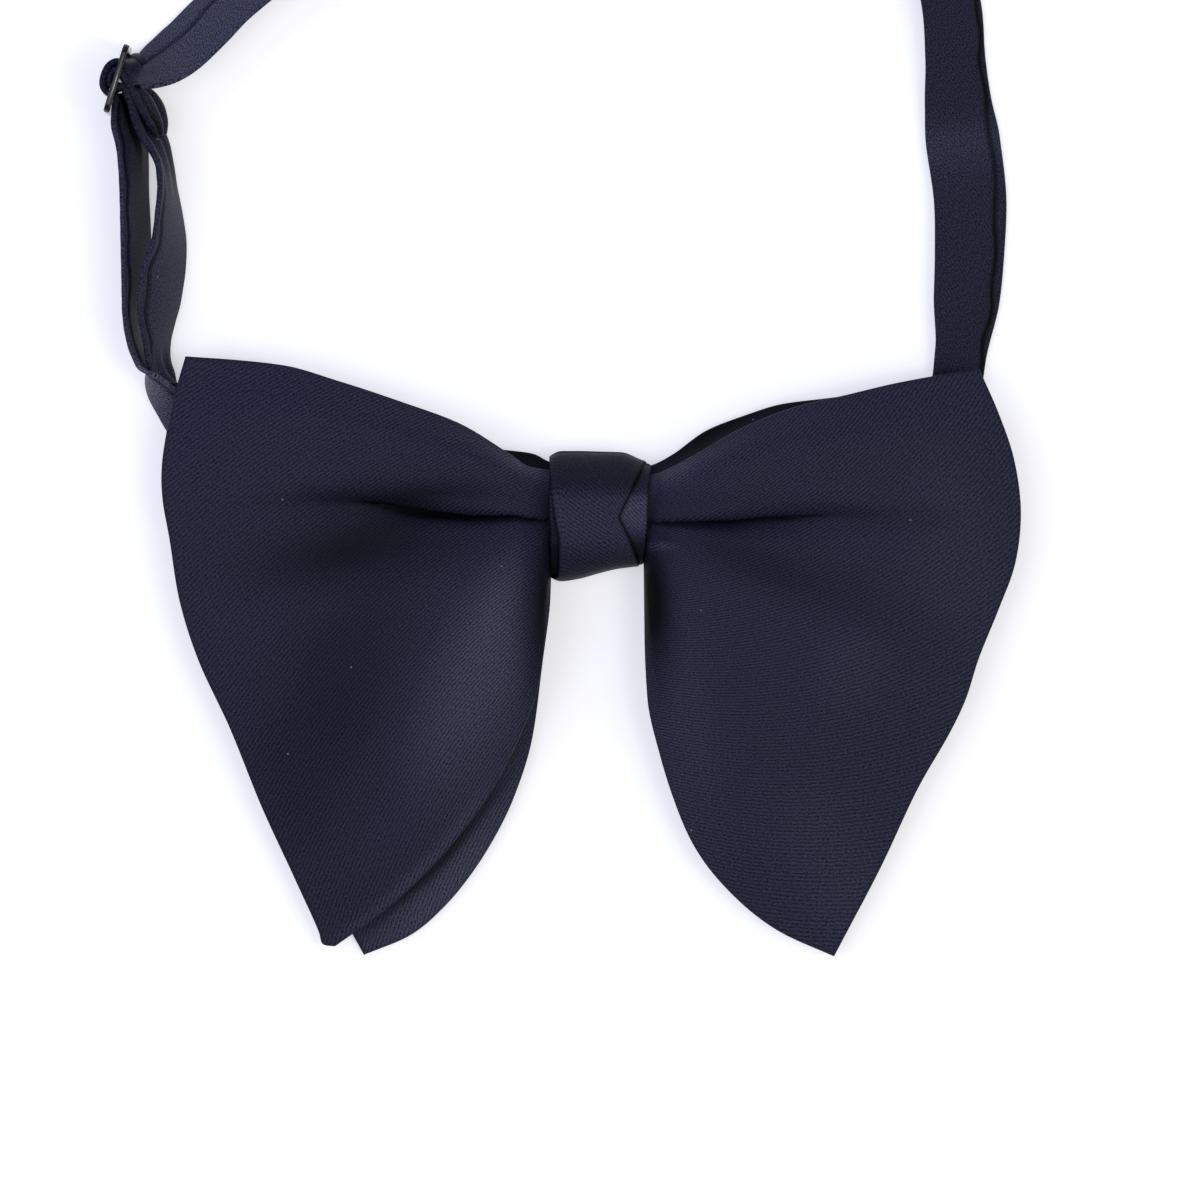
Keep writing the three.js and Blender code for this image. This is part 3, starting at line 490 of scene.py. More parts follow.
def wingNet(wing, look):
    # a wing's points, with each rib a row from the knot outwards, and the strength of the painted shade in the
    # hollow under its lip
    ribs = wing["ribs"]
    last = len(ribs["topX"]) - 1
    edge = np.array(wing["edge"])
    fine = throughPoints(edge, np.linspace(0, len(edge) - 1, look["edgeSamples"]))
    travelled = np.concatenate([[0], np.cumsum(np.linalg.norm(np.diff(fine, axis=0), axis=1))])
    travelled /= travelled[-1]
    above = 0.5 * (1 - np.cos(np.linspace(0, math.pi, look["rowsAbove"] + 1)))
    under = 0.5 * (1 - np.cos(np.linspace(0, math.pi, look["rowsBelow"] + 1)))[1:]
    net = []
    for r in last * np.sin(np.linspace(0, math.pi / 2, look["columns"] + 1)):
        rib = {name: float(column(ribs, name, r)) for name in ribColumns}
        fold = rib["fold"]
        rest = 1 - fold
        share = np.concatenate([above * fold, fold + under * rest])
        length = math.hypot(rib["topX"] - rib["lowX"], rib["topY"] - rib["lowY"])
        lip = look["lipWidth"] / length
        brinkZ = rib["zUpper"] * look["brinkOfPuff"] + rib["zFold"] * (1 - look["brinkOfPuff"])
        slopeZ = rib["zFold"] * look["slopeOfFold"] + rib["zLower"] * (1 - look["slopeOfFold"])
        stops = np.array([
            (0, rib["zTop"]),
            (look["puff"] * fold, rib["zUpper"]),
            (look["brink"] * fold, brinkZ),
            (fold + lip, rib["zFold"] - rib["groove"]),
            (fold + look["slope"] * rest, slopeZ),
            (fold + look["dome"] * rest, rib["zLower"]),
            (fold + look["hem"] * rest, (rib["zLower"] + rib["zLow"]) / 2),
            (1, rib["zLow"]),
        ])
        z = smooth(stops[:, 0], stops[:, 1], share)
        # the cloth just above the fold hangs over it, and the cloth just below is drawn up under that
        hang = rib["lip"] / length
        place = share + hang * (bell(share - fold + lip, lip) - bell(share - fold - lip, lip))
        top = np.array([rib["topX"], rib["topY"]])
        low = np.array([rib["lowX"], rib["lowY"]])
        # the outer ribs bend to the wing's side edge
        edgePoint = np.stack([np.interp(place, travelled, fine[:, k]) for k in (0, 1)], axis=-1)
        chord = edge[0] + (edge[-1] - edge[0]) * place[:, None]
        point = top + (low - top) * place[:, None] + (edgePoint - chord) * (r / last) ** 2
        wedge = float(smooth(np.arange(len(wing["wedge"])), wing["wedge"], r))
        below = (share - fold) * length
        beyond = np.maximum(below - wedge, 0) / look["wedgeFade"] + np.maximum(-below, 0) / look["lipFade"]
        net.append(np.column_stack([point, z, min(1, wedge) * bell(beyond, 1)]))
    net = np.array(net)
    return net[..., :3], net[..., 3]


def bowSheet(name, left, right, look, bumps):
    leftNet, leftWedge = wingNet(left, look)
    rightNet, rightWedge = wingNet(right, look)
    middle = np.concatenate([leftNet[:0:-1], rightNet])
    wedge = np.concatenate([leftWedge[:0:-1], rightWedge])
    x, y = middle[..., 0].copy(), middle[..., 1].copy()
    middle[..., 2] += bumpField(x, y, bumps, "height") - look["half"]
    for perX, perY, start, height in look["drape"]:
        middle[..., 2] += height * np.sin(perX * x + perY * y + start)
    down, out = lengths(middle, 1), lengths(middle, 0)
    fromEdge = np.minimum.reduce([down, down[:, -1:] - down, out, out[-1:] - out])
    half = roundedHalf(fromEdge, look["half"])
    # the tone: painted shade along the rims and in the hollow under the lip, with the patches' painted light
    # and shade
    rim = look["rimTone"] * bell(fromEdge, look["rimWidth"])
    tone = np.clip(bumpField(x, y, bumps, "tone") - wedge - rim, *look["toneRange"])
    uv = np.where((x < 0)[..., None], grainUv(x, y, "left"), grainUv(x, y, "right"))
    return closedCloth(name, middle * mm, half * mm, uv, tone, bothFaces=True)


# The knot's band, wrapped round both waists. Its outer layer ends in a fold that runs in from the right rim
# to a point and out again, and its left edge turns under below the middle. "cuts" gives its outline's top
# and bottom at shares of its width, and the two folds give x at places on y.
knotLook = {
    "cuts": table(["share", "top", "bottom"], [
        [0.0, 10.7, -10.9], [0.12, 11.7, -11.8], [0.3, 11.7, -11.4], [0.5, 11.6, -10.5], [0.7, 11.5, -9.7],
        [0.88, 10.3, -9.3], [1.0, 9.5, -9.1],
    ]),
    "leftFold": table(["y", "x"], [
        [-11.5, -7.2], [-8.4, -7.1], [-3.7, -6.9], [0.0, -7.75], [5.0, -8.3], [11.5, -8.3],
    ]),
    "rightFold": table(["y", "x"], [
        [-11.5, 7.2], [-8.4, 6.9], [-3.7, 4.8], [-0.2, 3.1], [5.7, 5.8], [8.3, 6.9], [11.5, 7.8],
    ]),
    "leftFoldY": (0.0, 10.1), "rightFoldY": (0.9, 9.4),  # each fold's middle on y, and its reach from there
    "behindLeft": 0.3, "behindRight": 1.2, "leastRight": 0.8,  # from the rims to the folds, behind and at least
    "foldStep": 0.22,  # over this width the outer layer falls to the one below
    "rimLeft": -8.8, "rimRightTop": 8.9, "rimRightBottom": 7.6,
    "front": 13.6, "backFlat": 0.5, "roundness": 3.2, "crown": 0.07,
    "layer": 0.6, "layerBehind": 0.35, "half": 0.5, "clear": 0.02,  # behind, the layer is this share as thick
    "bendY": 3.9, "bendDrop": 0.52, "bendSoft": 0.9, "lowY": -4.5, "lowDrop": 0.22,
    # a pressed crease between two points, its width and depth, and a painted highlight along it (creaseTone)
    "crease": [(-4.0, 11.4), (0.0, 5.1)], "creaseWidth": 0.22, "creaseDepth": 0.10, "creaseTone": 0.2,
    # the painted shade in the tucks beside the folds; the left one ends between two places on y, and the right
    # one fades there
    "tuckTone": -0.75, "tuckWidth": 0.35, "tuckEnd": (1.0, 4.0), "tuckFade": 0.4,
    # a painted shade's tone, and the places on y from and to which it comes in
    "underLeft": (-0.75, 0.5, -2.0), "underRight": (-0.6, -2.5, -4.5),
    "bend": (-0.55, 3.0, 4.9), "low": (-0.35, -4.5, -7.5),
    # a painted highlight's tone, its middle on y and its width
    "shineRight": (0.60, 0.8, 3.0), "shineFront": (0.12, -0.5, 3.5),
    "toneRange": (-0.9, 0.5),
    "ring": 220, "steps": (6, 4, 45, 4, 21),  # round the knot, and across its five stretches from rim to rim
}


def fromLine(x, y, ends):
    # distance from the straight line between two points
    (ax, ay), (bx, by) = ends
    share = ((x - ax) * (bx - ax) + (y - ay) * (by - ay)) / math.dist(*ends) ** 2
    share = np.clip(share, 0, 1)
    return np.hypot(x - ax - share * (bx - ax), y - ay - share * (by - ay))


def knotTone(y, fromLeft, fromRight, look):
    # the knot's painted light and shade: painted shade in the tucks beside both folds, under them, where the
    # top bends over and on the low part, and painted highlights on the right underlayer and in the front's
    # middle
    # fromLeft and fromRight are distances out from the outer layer's two folds
    upper = ramp(y, *look["tuckEnd"])
    tone = look["tuckTone"] * bell(fromLeft, look["tuckWidth"]) * (1 - upper)
    tone += look["tuckTone"] * bell(fromRight, look["tuckWidth"]) * (1 - look["tuckFade"] * upper)
    underLeft, underRight = fromLeft > 0, fromRight > 0
    for where, name in ((underLeft, "underLeft"), (underRight, "underRight"), (1, "bend"), (1, "low")):
        full, start, end = look[name]
        tone += where * full * ramp(y, start, end)
    for where, name in ((underRight, "shineRight"), (~underLeft & ~underRight, "shineFront")):
        full, middle, width = look[name]
        tone += where * full * bell(y - middle, width)
    return tone


def makeKnot(look):
    cuts, step = look["cuts"], look["foldStep"]
    inset = look["layer"] + look["half"]
    stretches = [np.linspace(0, 1, n + 1) for n in look["steps"]]
    net, lift, tones = [], [], []
    for angle in np.linspace(0, 2 * math.pi, look["ring"], endpoint=False):
        up = math.copysign(abs(math.sin(angle)) ** (2 / look["roundness"]), math.sin(angle))
        out = math.copysign(abs(math.cos(angle)) ** (2 / look["roundness"]), math.cos(angle))
        front = min(max(2 * math.sin(angle), 0), 1)  # 0 behind and at the edges, 1 in front
        fromTop = (1 - math.cos(angle)) / 2
        rimRight = look["rimRightTop"] + (look["rimRightBottom"] - look["rimRightTop"]) * fromTop
        leftY, rightY = (middle + reach * out for middle, reach in (look["leftFoldY"], look["rightFoldY"]))
        behindLeft, behindRight = look["rimLeft"] + look["behindLeft"], rimRight - look["behindRight"]
        foldLeft = np.interp(leftY, look["leftFold"]["y"], look["leftFold"]["x"])
        foldLeft = behindLeft + (foldLeft - behindLeft) * front
        foldRight = np.interp(rightY, look["rightFold"]["y"], look["rightFold"]["x"])
        foldRight = min(behindRight + (foldRight - behindRight) * front, rimRight - look["leastRight"])
        places = [look["rimLeft"], foldLeft - step, foldLeft, foldRight, foldRight + step, rimRight]
        x = np.concatenate([places[k] + (places[k + 1] - places[k]) * stretch[min(k, 1):]
                            for k, stretch in enumerate(stretches)])
        share = (x - look["rimLeft"]) / (rimRight - look["rimLeft"])
        top = smooth(cuts["share"], cuts["top"], share)
        bottom = smooth(cuts["share"], cuts["bottom"], share)
        y = (top + bottom) / 2 + ((top - bottom) / 2 - inset) * out
        crown = 1 - look["crown"] * (2 * share - 1) ** 2 if up > 0 else np.ones_like(share)
        z = look["front"] / 2 + (look["front"] / 2 + look["backFlat"] - inset) * up * crown
        if up > 0:
            # the front bends over softly at the top, and falls away below
            over = np.clip((y - look["bendY"]) / look["bendSoft"] + 1, 0, None)
            over = look["bendSoft"] * np.where(over < 2, over ** 2 / 4, over - 1)
            drop = look["bendDrop"] * over + look["lowDrop"] * np.clip(look["lowY"] - y, 0, None)
            z -= drop * min(1, 2 * up)
        net.append(np.column_stack([x, y, np.maximum(z, inset + look["clear"])]))
        inside = ramp(x, foldLeft - step, foldLeft) * ramp(x, foldRight + step, foldRight)
        layer = look["layer"] * (look["layerBehind"] + (1 - look["layerBehind"]) * front)
        pressed = front * bell(fromLine(x, y, look["crease"]), look["creaseWidth"])
        lift.append(layer * np.sqrt(inside) - look["creaseDepth"] * pressed)
        tone = knotTone(y, foldLeft - step - x, x - foldRight - step, look)
        tones.append(front * (tone + look["creaseTone"] * pressed))
    middle, relief = np.array(net), np.array(lift)
    across = lengths(middle, 1)
    half = roundedHalf(np.minimum(across, across[:, -1:] - across), look["half"])
    relief *= half / look["half"]
    tone = np.clip(np.array(tones), *look["toneRange"])
    closed = np.concatenate([middle, middle[:1]])
    uv = np.stack([closed[..., 0], lengths(closed, 0)], axis=-1) * mm
    return closedCloth("knot_band", middle * mm, half * mm, uv, tone, relief * mm, ring=True)


# The strap: one folded tube of satin with a slip-stitched seam near one edge. Its route goes right from the
# knot, round behind the neck, over the slider's centre bar, down to the knot and up again to the slider,
# where its end is turned round the same bar.
slider = {"centre": np.array([-84.1, 76.0]), "turn": math.radians(-107.2)}  # seen from above


def bySlider(out, along):
    # a place beside the slider: out from its plate, and along the plate from its middle
    heading = np.array([math.cos(slider["turn"]), math.sin(slider["turn"])])
    outward = np.array([-heading[1], heading[0]])
    return slider["centre"] + outward * out + heading * along


# "tilt" turns the width up from the surface, with the edge nearer the inside of the loop higher, and past 90
# degrees it is turned over. "lift" is the lowest edge's height, and "bunch" rolls the width up into folds.
routeColumns = ["x", "y", "width", "tilt", "lift", "bunch"]
strapRoute = [
    [1.8, 0.2, 9.6, 0, 1.5, 0],
    [8.0, 0.2, 9.6, 0, 1.5, 0],
    [13.0, 1.0, 11.0, 0, 0.9, 0],
    [20.0, 3.2, 12.6, 0, 0, 0],
    [32.0, 7.0, 13.0, 0, 0, 0],
    [46.0, 11.0, 13.0, 2, 0, 0],
    [56.0, 15.0, 11.5, 6, 0, 0],
    [61.6, 21.0, 9.2, 14, 0, 0],
    [63.1, 28.5, 9.6, 18, 0, 0],
    [64.1, 38.0, 12.1, 16, 0, 0],
    [64.6, 46.0, 12.6, 14, 0, 0],
    [64.7, 55.5, 13.0, 11, 0, 0],
    [63.5, 65.3, 13.2, 8, 0, 0],
    [62.6, 72.5, 12.1, 14, 0, 0],
    [62.1, 80.0, 11.4, 22, 0, 0],
    [61.2, 90.3, 12.0, 30, 0, 0],
    "far arc",
    [-64.1, 90.3, 12.6, 43, 0, 0],
    [-68.6, 85.9, 12.7, 41, 0, 0],
    [-73.0, 81.7, 12.8, 42, 0, 0],
    [-76.4, 79.2, 12.8, 48, 0.2, 0],
    [-80.0, 77.6, 12.8, 62, 0.9, 0.2],
    [*bySlider(1.5, -3.3), 12.8, 72, 2.0, 0.3],
    [*bySlider(0, -3.2), 12.8, 87, 2.4, 0.3],
    [*bySlider(-1.2, -2.7), 12.8, 90, 2.4, 0.3],
    [*bySlider(-2.0, -1.7), 12.8, 90, 2.4, 0.3],
    [*bySlider(-2.3, 0), 12.8, 90, 2.4, 0.3],
    [*bySlider(-2.0, 1.7), 12.8, 90, 2.4, 0.3],
    [*bySlider(-1.2, 2.55), 12.8, 90, 2.4, 0.3],
    [*bySlider(0, 2.85), 12.8, 90, 2.4, 0],
    [*bySlider(1.4, 3.0), 12.8, 98, 2.3, 0.1],
    [*bySlider(2.6, 4.4), 12.8, 106, 1.7, 0.2],
    [*bySlider(3.9, 7.1), 12.8, 111, 0.9, 0.3],
    [-81.7, 64.0, 12.7, 111, 0.3, 0.1],
    [-81.3, 57.0, 12.6, 110, 0, 0],
    [-81.0, 48.5, 12.6, 111, 0, 0],
    [-81.2, 40.5, 12.4, 108, 0, 0],
    [-81.6, 34.8, 11.6, 103, 0, 0],
    [-81.1, 30.0, 10.6, 101, 0, 0],
    [-79.7, 26.6, 10.2, 102, 0.1, 0],
    [-78.2, 23.8, 9.4, 76, 0.3, 0],
    [-75.6, 20.2, 7.6, 45, 0.9, 0],
    [-72.0, 17.0, 9.4, 17, 1.4, 0],
    [-66.5, 13.4, 11.4, 5, 1.5, 0],
    [-56.0, 9.2, 12.6, 0, 1.6, 0],
    [-40.0, 4.8, 13.0, 0, 1.6, 0],
    [-24.0, 1.8, 12.6, 0, 1.6, 0],
    [-13.0, 0.2, 11.0, 0, 2.5, 0],
    [-8.0, 0.0, 9.6, 0, 3.0, 0],
    [-3.2, 0.0, 9.6, 0, 3.0, 0],
    [-2.4, 0.0, 9.6, 0, 2.25, 0],
    [-3.2, 0.0, 9.6, 0, 1.5, 0],
    [-8.0, 0.0, 9.6, 0, 1.5, 0],
    [-13.0, 0.2, 11.0, 0, 0.8, 0],
    [-24.0, 2.0, 12.6, 0, 0, 0],
    [-40.0, 6.0, 13.0, 0, 0, 0],
    [-56.0, 11.8, 12.4, 0, 0, 0],
    [-66.0, 17.0, 9.6, 5, 0, 0],
    [-71.8, 20.6, 7.0, 26, 0, 0],
    [-74.0, 22.1, 6.4, 78, 0.1, 0.3],
    [-76.2, 24.6, 8.6, 112, 0.5, 0.3],
    [-77.1, 27.0, 8.8, 114, 1.1, 0.2],
    [-77.4, 30.0, 9.4, 116, 1.6, 0],
    [-77.4, 34.0, 11.2, 121, 1.8, 0],
    [-77.0, 38.0, 12.6, 124, 1.8, 0],
    [-76.3, 42.4, 12.9, 123, 1.2, 0],
    [-75.3, 47.5, 12.8, 115, 0.4, 0],
    [-75.3, 53.0, 12.6, 108, 0, 0],
    [-75.6, 58.0, 12.5, 101, 0, 0.1],
    [-76.1, 61.5, 12.5, 100, 0, 0.3],
    [-77.2, 64.6, 12.6, 104, 0.2, 0.5],
    [-78.7, 67.3, 12.7, 107, 0.6, 0.6],
    [-80.0, 69.8, 12.8, 104, 1.0, 0.6],
    [-81.4, 72.5, 12.8, 97, 1.6, 0.5],
    [*bySlider(1.2, 0.85), 12.8, 91, 2.2, 0.5],
    [*bySlider(0, 1.65), 12.8, 90, 2.4, 0],
    [*bySlider(-0.85, 1.25), 12.8, 90, 2.4, 0.2],
    [*bySlider(-1.2, 0), 12.8, 90, 2.4, 0.2],
    [*bySlider(-0.85, -1.25), 12.8, 90, 2.4, 0.2],
    [*bySlider(0, -1.65), 12.8, 90, 2.4, 0],
    [*bySlider(1.2, -0.7), 12.8, 88, 2.2, 0.6],
    [-80.0, 73.6, 12.6, 80, 1.7, 0.7],
    [-78.3, 71.2, 11.6, 75, 1.9, 0.6],
    [-77.3, 68.7, 8.6, 74, 3.4, 0.5],
    [-76.8, 66.2, 4.0, 76, 6.0, 0.2],
]

# The curve behind the neck: how far each end pulls it, and the two headings in degrees
farArc = {
    "handle": 60.0, "headings": (99.0, 220.5),
    "width": 12.8, "tilts": (38.0, 56.0),  # at its ends and in its middle
    "steps": 8, "samples": 401,
}
strapLook = {
    "thickness": 1.2,  # the room that the tube takes up where it lies flat
    "half": 0.5, "clear": 0.02,
    "stepPlain": 0.7, "stepTight": 0.25, "tightGap": 3.0,
    "across": 36,
    "leastLevel": 0.4,  # a steeper stretch keeps the side of the one before
    # its upper face arches a little, by a mean and two waves along it (height, length, start), and where it
    # turns over the arch changes sides
    "arch": 0.30, "archWaves": [(0.22, 7.3, 1.0), (0.16, 3.1, 0.0)], "turnOver": 6,
    "bunchDepth": 1.1, "bunchFolds": 2.6, "bunchStart": 0.8, "bunchThicker": 0.6,
    "heldReach": 4.6,  # this near the slider its slots hold the strap flat
    # the seam's place across the strap, from -1 to 1, at rows of the route, counting the far arc's
    "seamAt": table(["row", "v"], [
        [0, -0.84], [7, -0.82], [9, -0.74], [11, -0.68], [12, -0.74], [13, -0.80], [16, -0.82], [22, -0.3],
        [27, -0.3], [30, -0.7], [34, 0.74],
    ]),
    "wander": 0.26, "wanderLength": 1.7, "sway": 2, "swayLength": 11,
    # the seam's width and depth, and its darkening, partly a dark seam and partly painted shade in its groove
    "seamWidth": 0.42, "seamDepth": 0.26, "seamTone": -0.95,
    "stitch": 3.2, "pucker": 0.03, "puckerPlace": 0.9, "puckerWidth": 0.7,
    # painted light and shade along the strap: a tone at rows of the route, counting the far arc's
    "tones": table(["row", "tone"], [
        [0, -0.15], [9, -0.2], [11, -0.1], [12, 0.2], [13, -0.15], [16, -0.15], [22, 0.5], [25, 0.6], [27, 0.2],
        [29, -0.4], [36, -0.4], [39, 0.2], [43, 0.2], [44, 0.25], [46, 1.0], [48, 0.9], [50, 0.0], [66, 0.0],
        [70, 0.15], [73, 0.1], [76, -0.1], [79, -0.3], [86, -0.2],
    ]),
}


def farArcRows(start, end):
    # the stretch behind the neck, as one plain curve of even steps
    p0, p3 = np.array(start[:2]), np.array(end[:2])
    headings = [np.array([math.cos(math.radians(h)), math.sin(math.radians(h))]) for h in farArc["headings"]]
    p1, p2 = p0 + headings[0] * farArc["handle"], p3 - headings[1] * farArc["handle"]
    t = np.linspace(0, 1, farArc["samples"])[:, None]
    curve = (1 - t) ** 3 * p0 + 3 * t * (1 - t) ** 2 * p1 + 3 * t * t * (1 - t) * p2 + t ** 3 * p3
    travelled = np.concatenate([[0], np.cumsum(np.linalg.norm(np.diff(curve, axis=0), axis=1))])
    endTilt, midTilt = farArc["tilts"]
    rows = []
    for i in range(1, farArc["steps"]):
        share = i / farArc["steps"]
        x, y = (np.interp(share * travelled[-1], travelled, curve[:, k]) for k in (0, 1))
        rows.append([x, y, farArc["width"], endTilt + (midTilt - endTilt) * math.sin(math.pi * share), 0, 0])
    return rows


def makeStrap(look):
    gap = strapRoute.index("far arc")
    arc = farArcRows(strapRoute[gap - 1], strapRoute[gap + 1])
    rows = table(routeColumns, strapRoute[:gap] + arc + strapRoute[gap + 1:])
    rise = np.radians(rows["tilt"])
    z = rows["lift"] + rows["width"] / 2 * np.sin(rise) + look["thickness"] / 2 * np.abs(np.cos(rise))
    points = np.column_stack([rows["x"], rows["y"], z])

    # the centre line, with finer steps where the route's rows are close together
    gaps = np.linalg.norm(np.diff(points, axis=0), axis=1)
    finest = np.where(gaps < look["tightGap"], look["stepTight"], look["stepPlain"])
    steps = [max(2, round(n)) for n in gaps / finest]
    places = np.concatenate([i + np.arange(n) / n for i, n in enumerate(steps)] + [[len(gaps)]])
    centre = throughPoints(points, places)
    along = np.gradient(centre, axis=0)
    along /= np.linalg.norm(along, axis=1, keepdims=True)
    travelled = np.concatenate([[0], np.cumsum(np.linalg.norm(np.diff(centre, axis=0), axis=1))])

    # its width laid across the line, slightly arched, and in folds where it is bunched
    rise = np.radians(column(rows, "tilt", places))
    width = column(rows, "width", places)
    bunch = np.clip(column(rows, "bunch", places), 0, 1)
    v = np.sin(np.linspace(-math.pi / 2, math.pi / 2, look["across"] + 1))
    folds = look["bunchDepth"] * np.sin(look["bunchFolds"] * math.pi * v + look["bunchStart"]) * (1 - v ** 4)
    side = np.array([0.0, 1.0, 0.0])
    middle = []
    for k, s in enumerate(travelled):
        level = np.array([-along[k, 1], along[k, 0], 0.0])
        size = np.linalg.norm(level)
        if size > look["leastLevel"]:
            level /= size
            side = level if level @ side >= 0 else -level
        across = side * math.cos(rise[k]) + np.array([0, 0, math.sin(rise[k])])
        through = np.cross(along[k], across)
        through /= np.linalg.norm(through)
        waves = (high * math.sin(s / long + start) for high, long, start in look["archWaves"])
        arch = (look["arch"] + sum(waves)) * math.tanh(look["turnOver"] * through[2])
        held = math.exp(-(math.dist(centre[k, :2], slider["centre"]) / look["heldReach"]) ** 4)
        bow = (1 - held) * (arch * (1 - v ** 2) + bunch[k] * folds)
        middle.append(centre[k] + np.outer(v * width[k] / 2, across) + np.outer(bow, through))
    middle = np.array(middle)
    middle[..., 2] = np.maximum(middle[..., 2], look["half"] + look["clear"])
    far, wide = lengths(middle, 0), lengths(middle, 1)
    fromEdge = np.minimum.reduce([wide, wide[:, -1:] - wide, far, far[-1:] - far])
    half = roundedHalf(fromEdge, look["half"]) * (1 + look["bunchThicker"] * bunch[:, None])

    # the seam is sunk and darkened, partly as a dark seam and partly as painted shade in its groove; it wanders
    # a little, and its stitches pucker the cloth beside it
    seamAt = smooth(look["seamAt"]["row"], look["seamAt"]["v"], places)
    sway = look["sway"] * np.sin(travelled / look["swayLength"])
    wander = look["wander"] * np.sin(travelled / look["wanderLength"] + sway)
    fromSeam = (v[None, :] - seamAt[:, None]) * width[:, None] / 2 - wander[:, None]
    line = bell(fromSeam, look["seamWidth"])
    beside = bell(np.abs(fromSeam) - look["puckerPlace"], look["puckerWidth"])
    pulls = np.sin(2 * math.pi * travelled / look["stitch"])[:, None]
    relief = look["pucker"] * pulls * beside - look["seamDepth"] * line
    relief *= np.minimum(half / look["half"], 1)
    # the tone is the strap's painted light and shade, with the seam's darkening
    tone = smooth(look["tones"]["row"], look["tones"]["tone"], places)[:, None] + look["seamTone"] * line
    uv = np.stack([np.broadcast_to(travelled[:, None], wide.shape), v[None, :] * width[:, None] / 2], axis=-1)
    print("strap", round(travelled[-1]), "mm long")
    return closedCloth("strap_tube", middle * mm, half * mm, uv * mm, tone, relief * mm, bothFaces=True)


# The slider: a flat plate on its edge, with two slots and a centre bar. Its edges are rounded, and its top
# slopes a little, so that it catches the light.
sliderShape = {
    "width": 12.4, "bar": 1.6, "rail": 2.0, "slot": 13.6, "plate": 1.0,
    "corner": 1.6, "slotCorner": 0.6, "cornerSteps": 6,
    "rim": 0.28, "rimSteps": 3, "rimFrom": math.radians(50),
    "topSlope": 0.2, "smoothTo": math.radians(35),
}


def addBlock(name, width, height, depth, corner, steps, x=0.0):
    # a plate with rounded corners, its width on x and its height on z, about the slider's middle
    bpy.ops.object.select_all(action="DESELECT")
    bpy.ops.mesh.primitive_cube_add(size=1)
    block = bpy.context.object
    block.name = name
    block.scale = (width * mm, depth * mm, height * mm)
    block.location = (x * mm, 0, 0)
    bpy.ops.object.transform_apply(location=True, rotation=False, scale=True)
    bpy.ops.object.mode_set(mode="EDIT")
    bpy.ops.mesh.select_mode(type="EDGE")
    bpy.ops.mesh.select_all(action="DESELECT")
    bpy.ops.object.mode_set(mode="OBJECT")
    for edge in block.data.edges:
        a, b = (block.data.vertices[i].co for i in edge.vertices)
        edge.select = abs(a.y - b.y) > 0.5 * depth * mm
    bpy.ops.object.mode_set(mode="EDIT")
    bpy.ops.mesh.bevel(offset=corner * mm, segments=steps, affect="EDGES")
    bpy.ops.object.mode_set(mode="OBJECT")
    return block


def makeSlider(look):
    height = look["slot"] + 2 * look["rail"]
    slotWidth = (look["width"] - 3 * look["bar"]) / 2
    steps = look["cornerSteps"]
    plate = addBlock("slider_plate", look["width"], height, look["plate"], look["corner"], steps)
    for side in (-1, 1):
        x = side * (slotWidth + look["bar"]) / 2
        depth = 4 * look["plate"]
        cutter = addBlock("slot_cutter", slotWidth, look["slot"], depth, look["slotCorner"], steps, x)
        cut = plate.modifiers.new("slot", "BOOLEAN")
        cut.operation = "DIFFERENCE"
        cut.solver = "EXACT"
        cut.object = cutter
        bpy.ops.object.select_all(action="DESELECT")
        bpy.context.view_layer.objects.active = plate
        bpy.ops.object.modifier_apply(modifier=cut.name)
        bpy.data.objects.remove(cutter, do_unlink=True)
    rounding = plate.modifiers.new("rounding", "BEVEL")
    rounding.width = look["rim"] * mm
    rounding.segments = look["rimSteps"]
    rounding.limit_method = "ANGLE"
    rounding.angle_limit = look["rimFrom"]
    bpy.ops.object.modifier_apply(modifier=rounding.name)
    for vertex in plate.data.vertices:
        along, out, up = vertex.co
        level = up + height / 2 * mm - look["topSlope"] * out * (up > 0)
        vertex.co = (*bySlider(out / mm, along / mm) * mm, level)
    plate.select_set(True)
    bpy.ops.object.shade_smooth_by_angle(angle=look["smoothTo"])
    print("slider made")
    return plate


# A pale paper floor under plain soft light: each light's place, size, power and colour, in metres and watts
studio = {
    "floorSize": 8.0, "floorDrop": 0.0002,
    "paper": "#f4f4f5", "paperGlow": 0.47, "roughness": 0.9, "shine": 0.1,
    "air": "#eef1ff", "airStrength": 0.25,
    "lights": {
        "overheadLeft": ((-0.85, -0.25, 2.15), (1.2, 1.5), 13.5, "#e6e9ff"),
        "overheadRight": ((0.85, -0.25, 2.15), (1.2, 1.5), 10.0, "#fbf6f4"),
        "glint": ((0.8, -0.2, 2.1), (0.2, 0.45), 2.5, "#ffffff"),
        "coolSide": ((-1.3, 0.7, 1.1), (1.0, 1.0), 5.0, "#b4c0ff"),
        "coolBack": ((0.1, 1.5, 1.0), (1.6, 0.8), 3.5, "#d4daff"),
        "warmSide": ((1.6, -0.8, 1.2), (1.0, 1.0), 2.5, "#fff4ec"),
    },
}


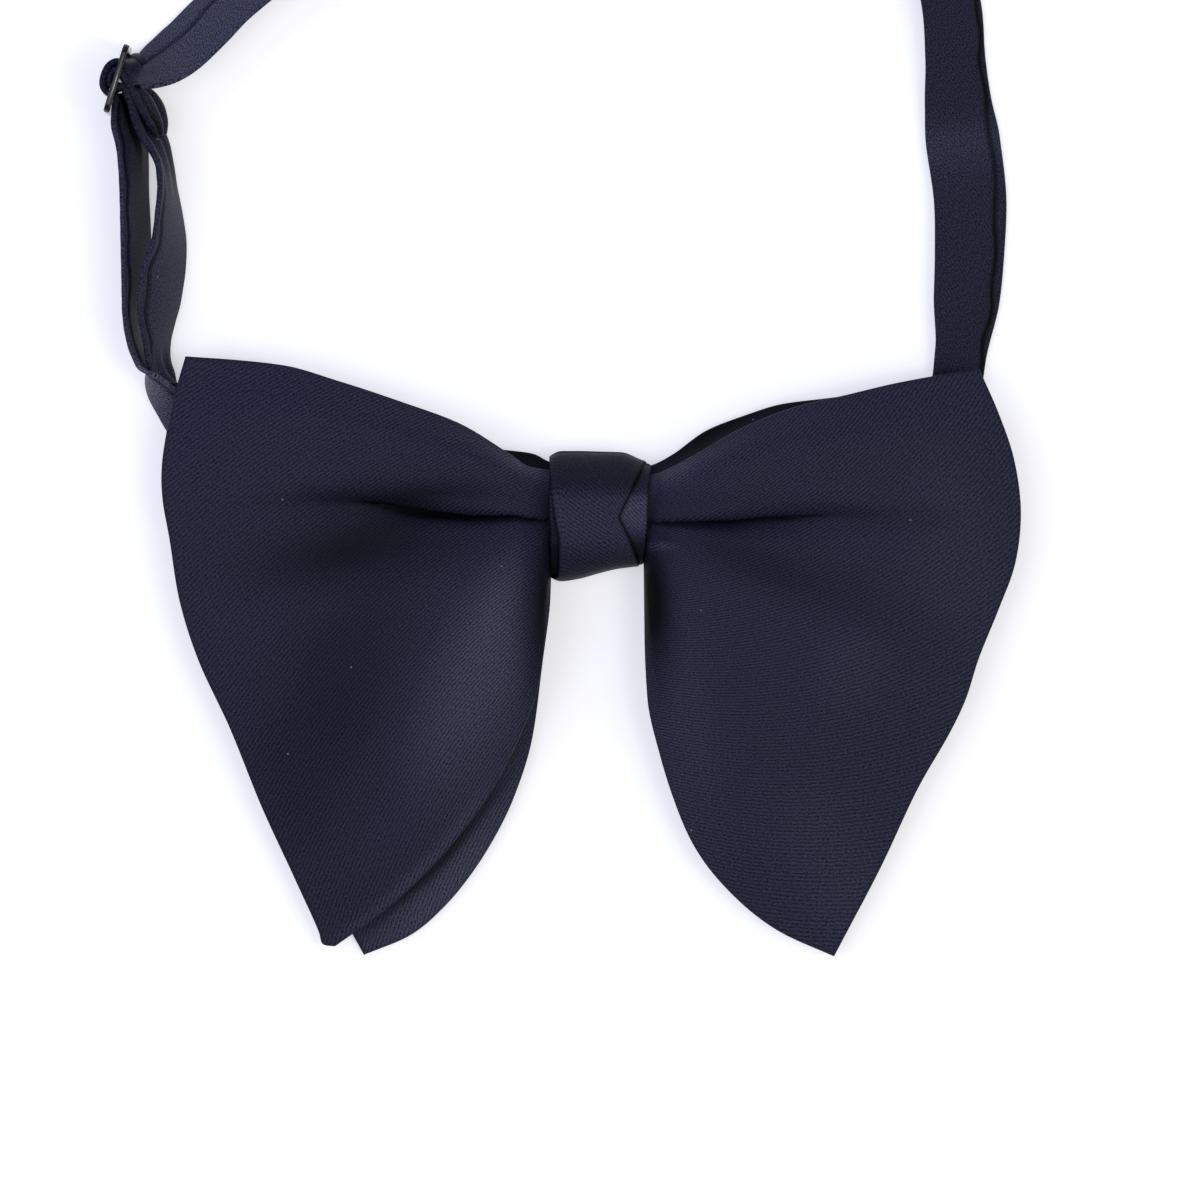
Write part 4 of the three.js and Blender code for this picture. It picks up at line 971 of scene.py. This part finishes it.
def addLight(name, place, size, power, colour):
    data = bpy.data.lights.new(name, "AREA")
    data.shape = "RECTANGLE"
    data.size, data.size_y = size
    data.energy = power
    data.color = linearColour(colour)[:3]
    light = bpy.data.objects.new(name, data)
    bpy.context.scene.collection.objects.link(light)
    light.location = place
    toCentre = -light.location.normalized()
    light.rotation_euler = toCentre.to_track_quat("-Z", "Y").to_euler()


def makeStage(look):
    bpy.ops.object.select_all(action="DESELECT")
    bpy.ops.mesh.primitive_plane_add(size=look["floorSize"], location=(0, 0, -look["floorDrop"]))
    floor = bpy.context.object
    floor.name = "floor"
    material = emptyMaterial("pale_paper")
    tree = material.node_tree
    shader = addNode(tree, "ShaderNodeBsdfPrincipled", {
        "Base Color": linearColour(look["paper"]), "Roughness": look["roughness"],
        "Specular IOR Level": look["shine"],
        "Emission Color": linearColour("#ffffff"), "Emission Strength": look["paperGlow"],
    })
    addNode(tree, "ShaderNodeOutputMaterial", None, {"Surface": shader.outputs["BSDF"]})
    floor.data.materials.append(material)
    world = bpy.data.worlds.new("studio")
    bpy.context.scene.world = world
    world.use_nodes = True
    background = world.node_tree.nodes["Background"].inputs
    background["Color"].default_value = linearColour(look["air"])
    background["Strength"].default_value = look["airStrength"]
    for name, settings in look["lights"].items():
        addLight(name, *settings)
    print("stage made")


placeCamera()
makeStage(studio)
navySatin = satin("navy_satin", satinLook)
strapSatin = satin("strap_satin", strapSatinLook)
print("satins made")

front = bowSheet("front_sheet", frontLeft, frontRight, sheetLook, frontBumps)
rear = bowSheet("rear_sheet", rearLeft, rearRight, sheetLook, rearBumps)
for piece, node in ((front, "front_bow"), (rear, "rear_bow")):
    piece.data.materials.append(navySatin)
    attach(piece, "root")
    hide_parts(node)
print("sheets made")

knot = makeKnot(knotLook)
strap = makeStrap(strapLook)
for piece, node, slot, flat, cloth in (
    (knot, "knot", "knot_satin", (0.018, 0.062), navySatin),
    (strap, "neck_strap", "strap_satin", (0.0135, 0.61), strapSatin),
):
    piece.data.materials.append(cloth)
    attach(piece, "root")
    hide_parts(node)
print("knot and strap made")

sliderPlate = makeSlider(sliderShape)
sliderPlate.data.materials.append(blackAcetal("black_acetal", sliderLook))
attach(sliderPlate, "root")
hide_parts("slide_adjuster")
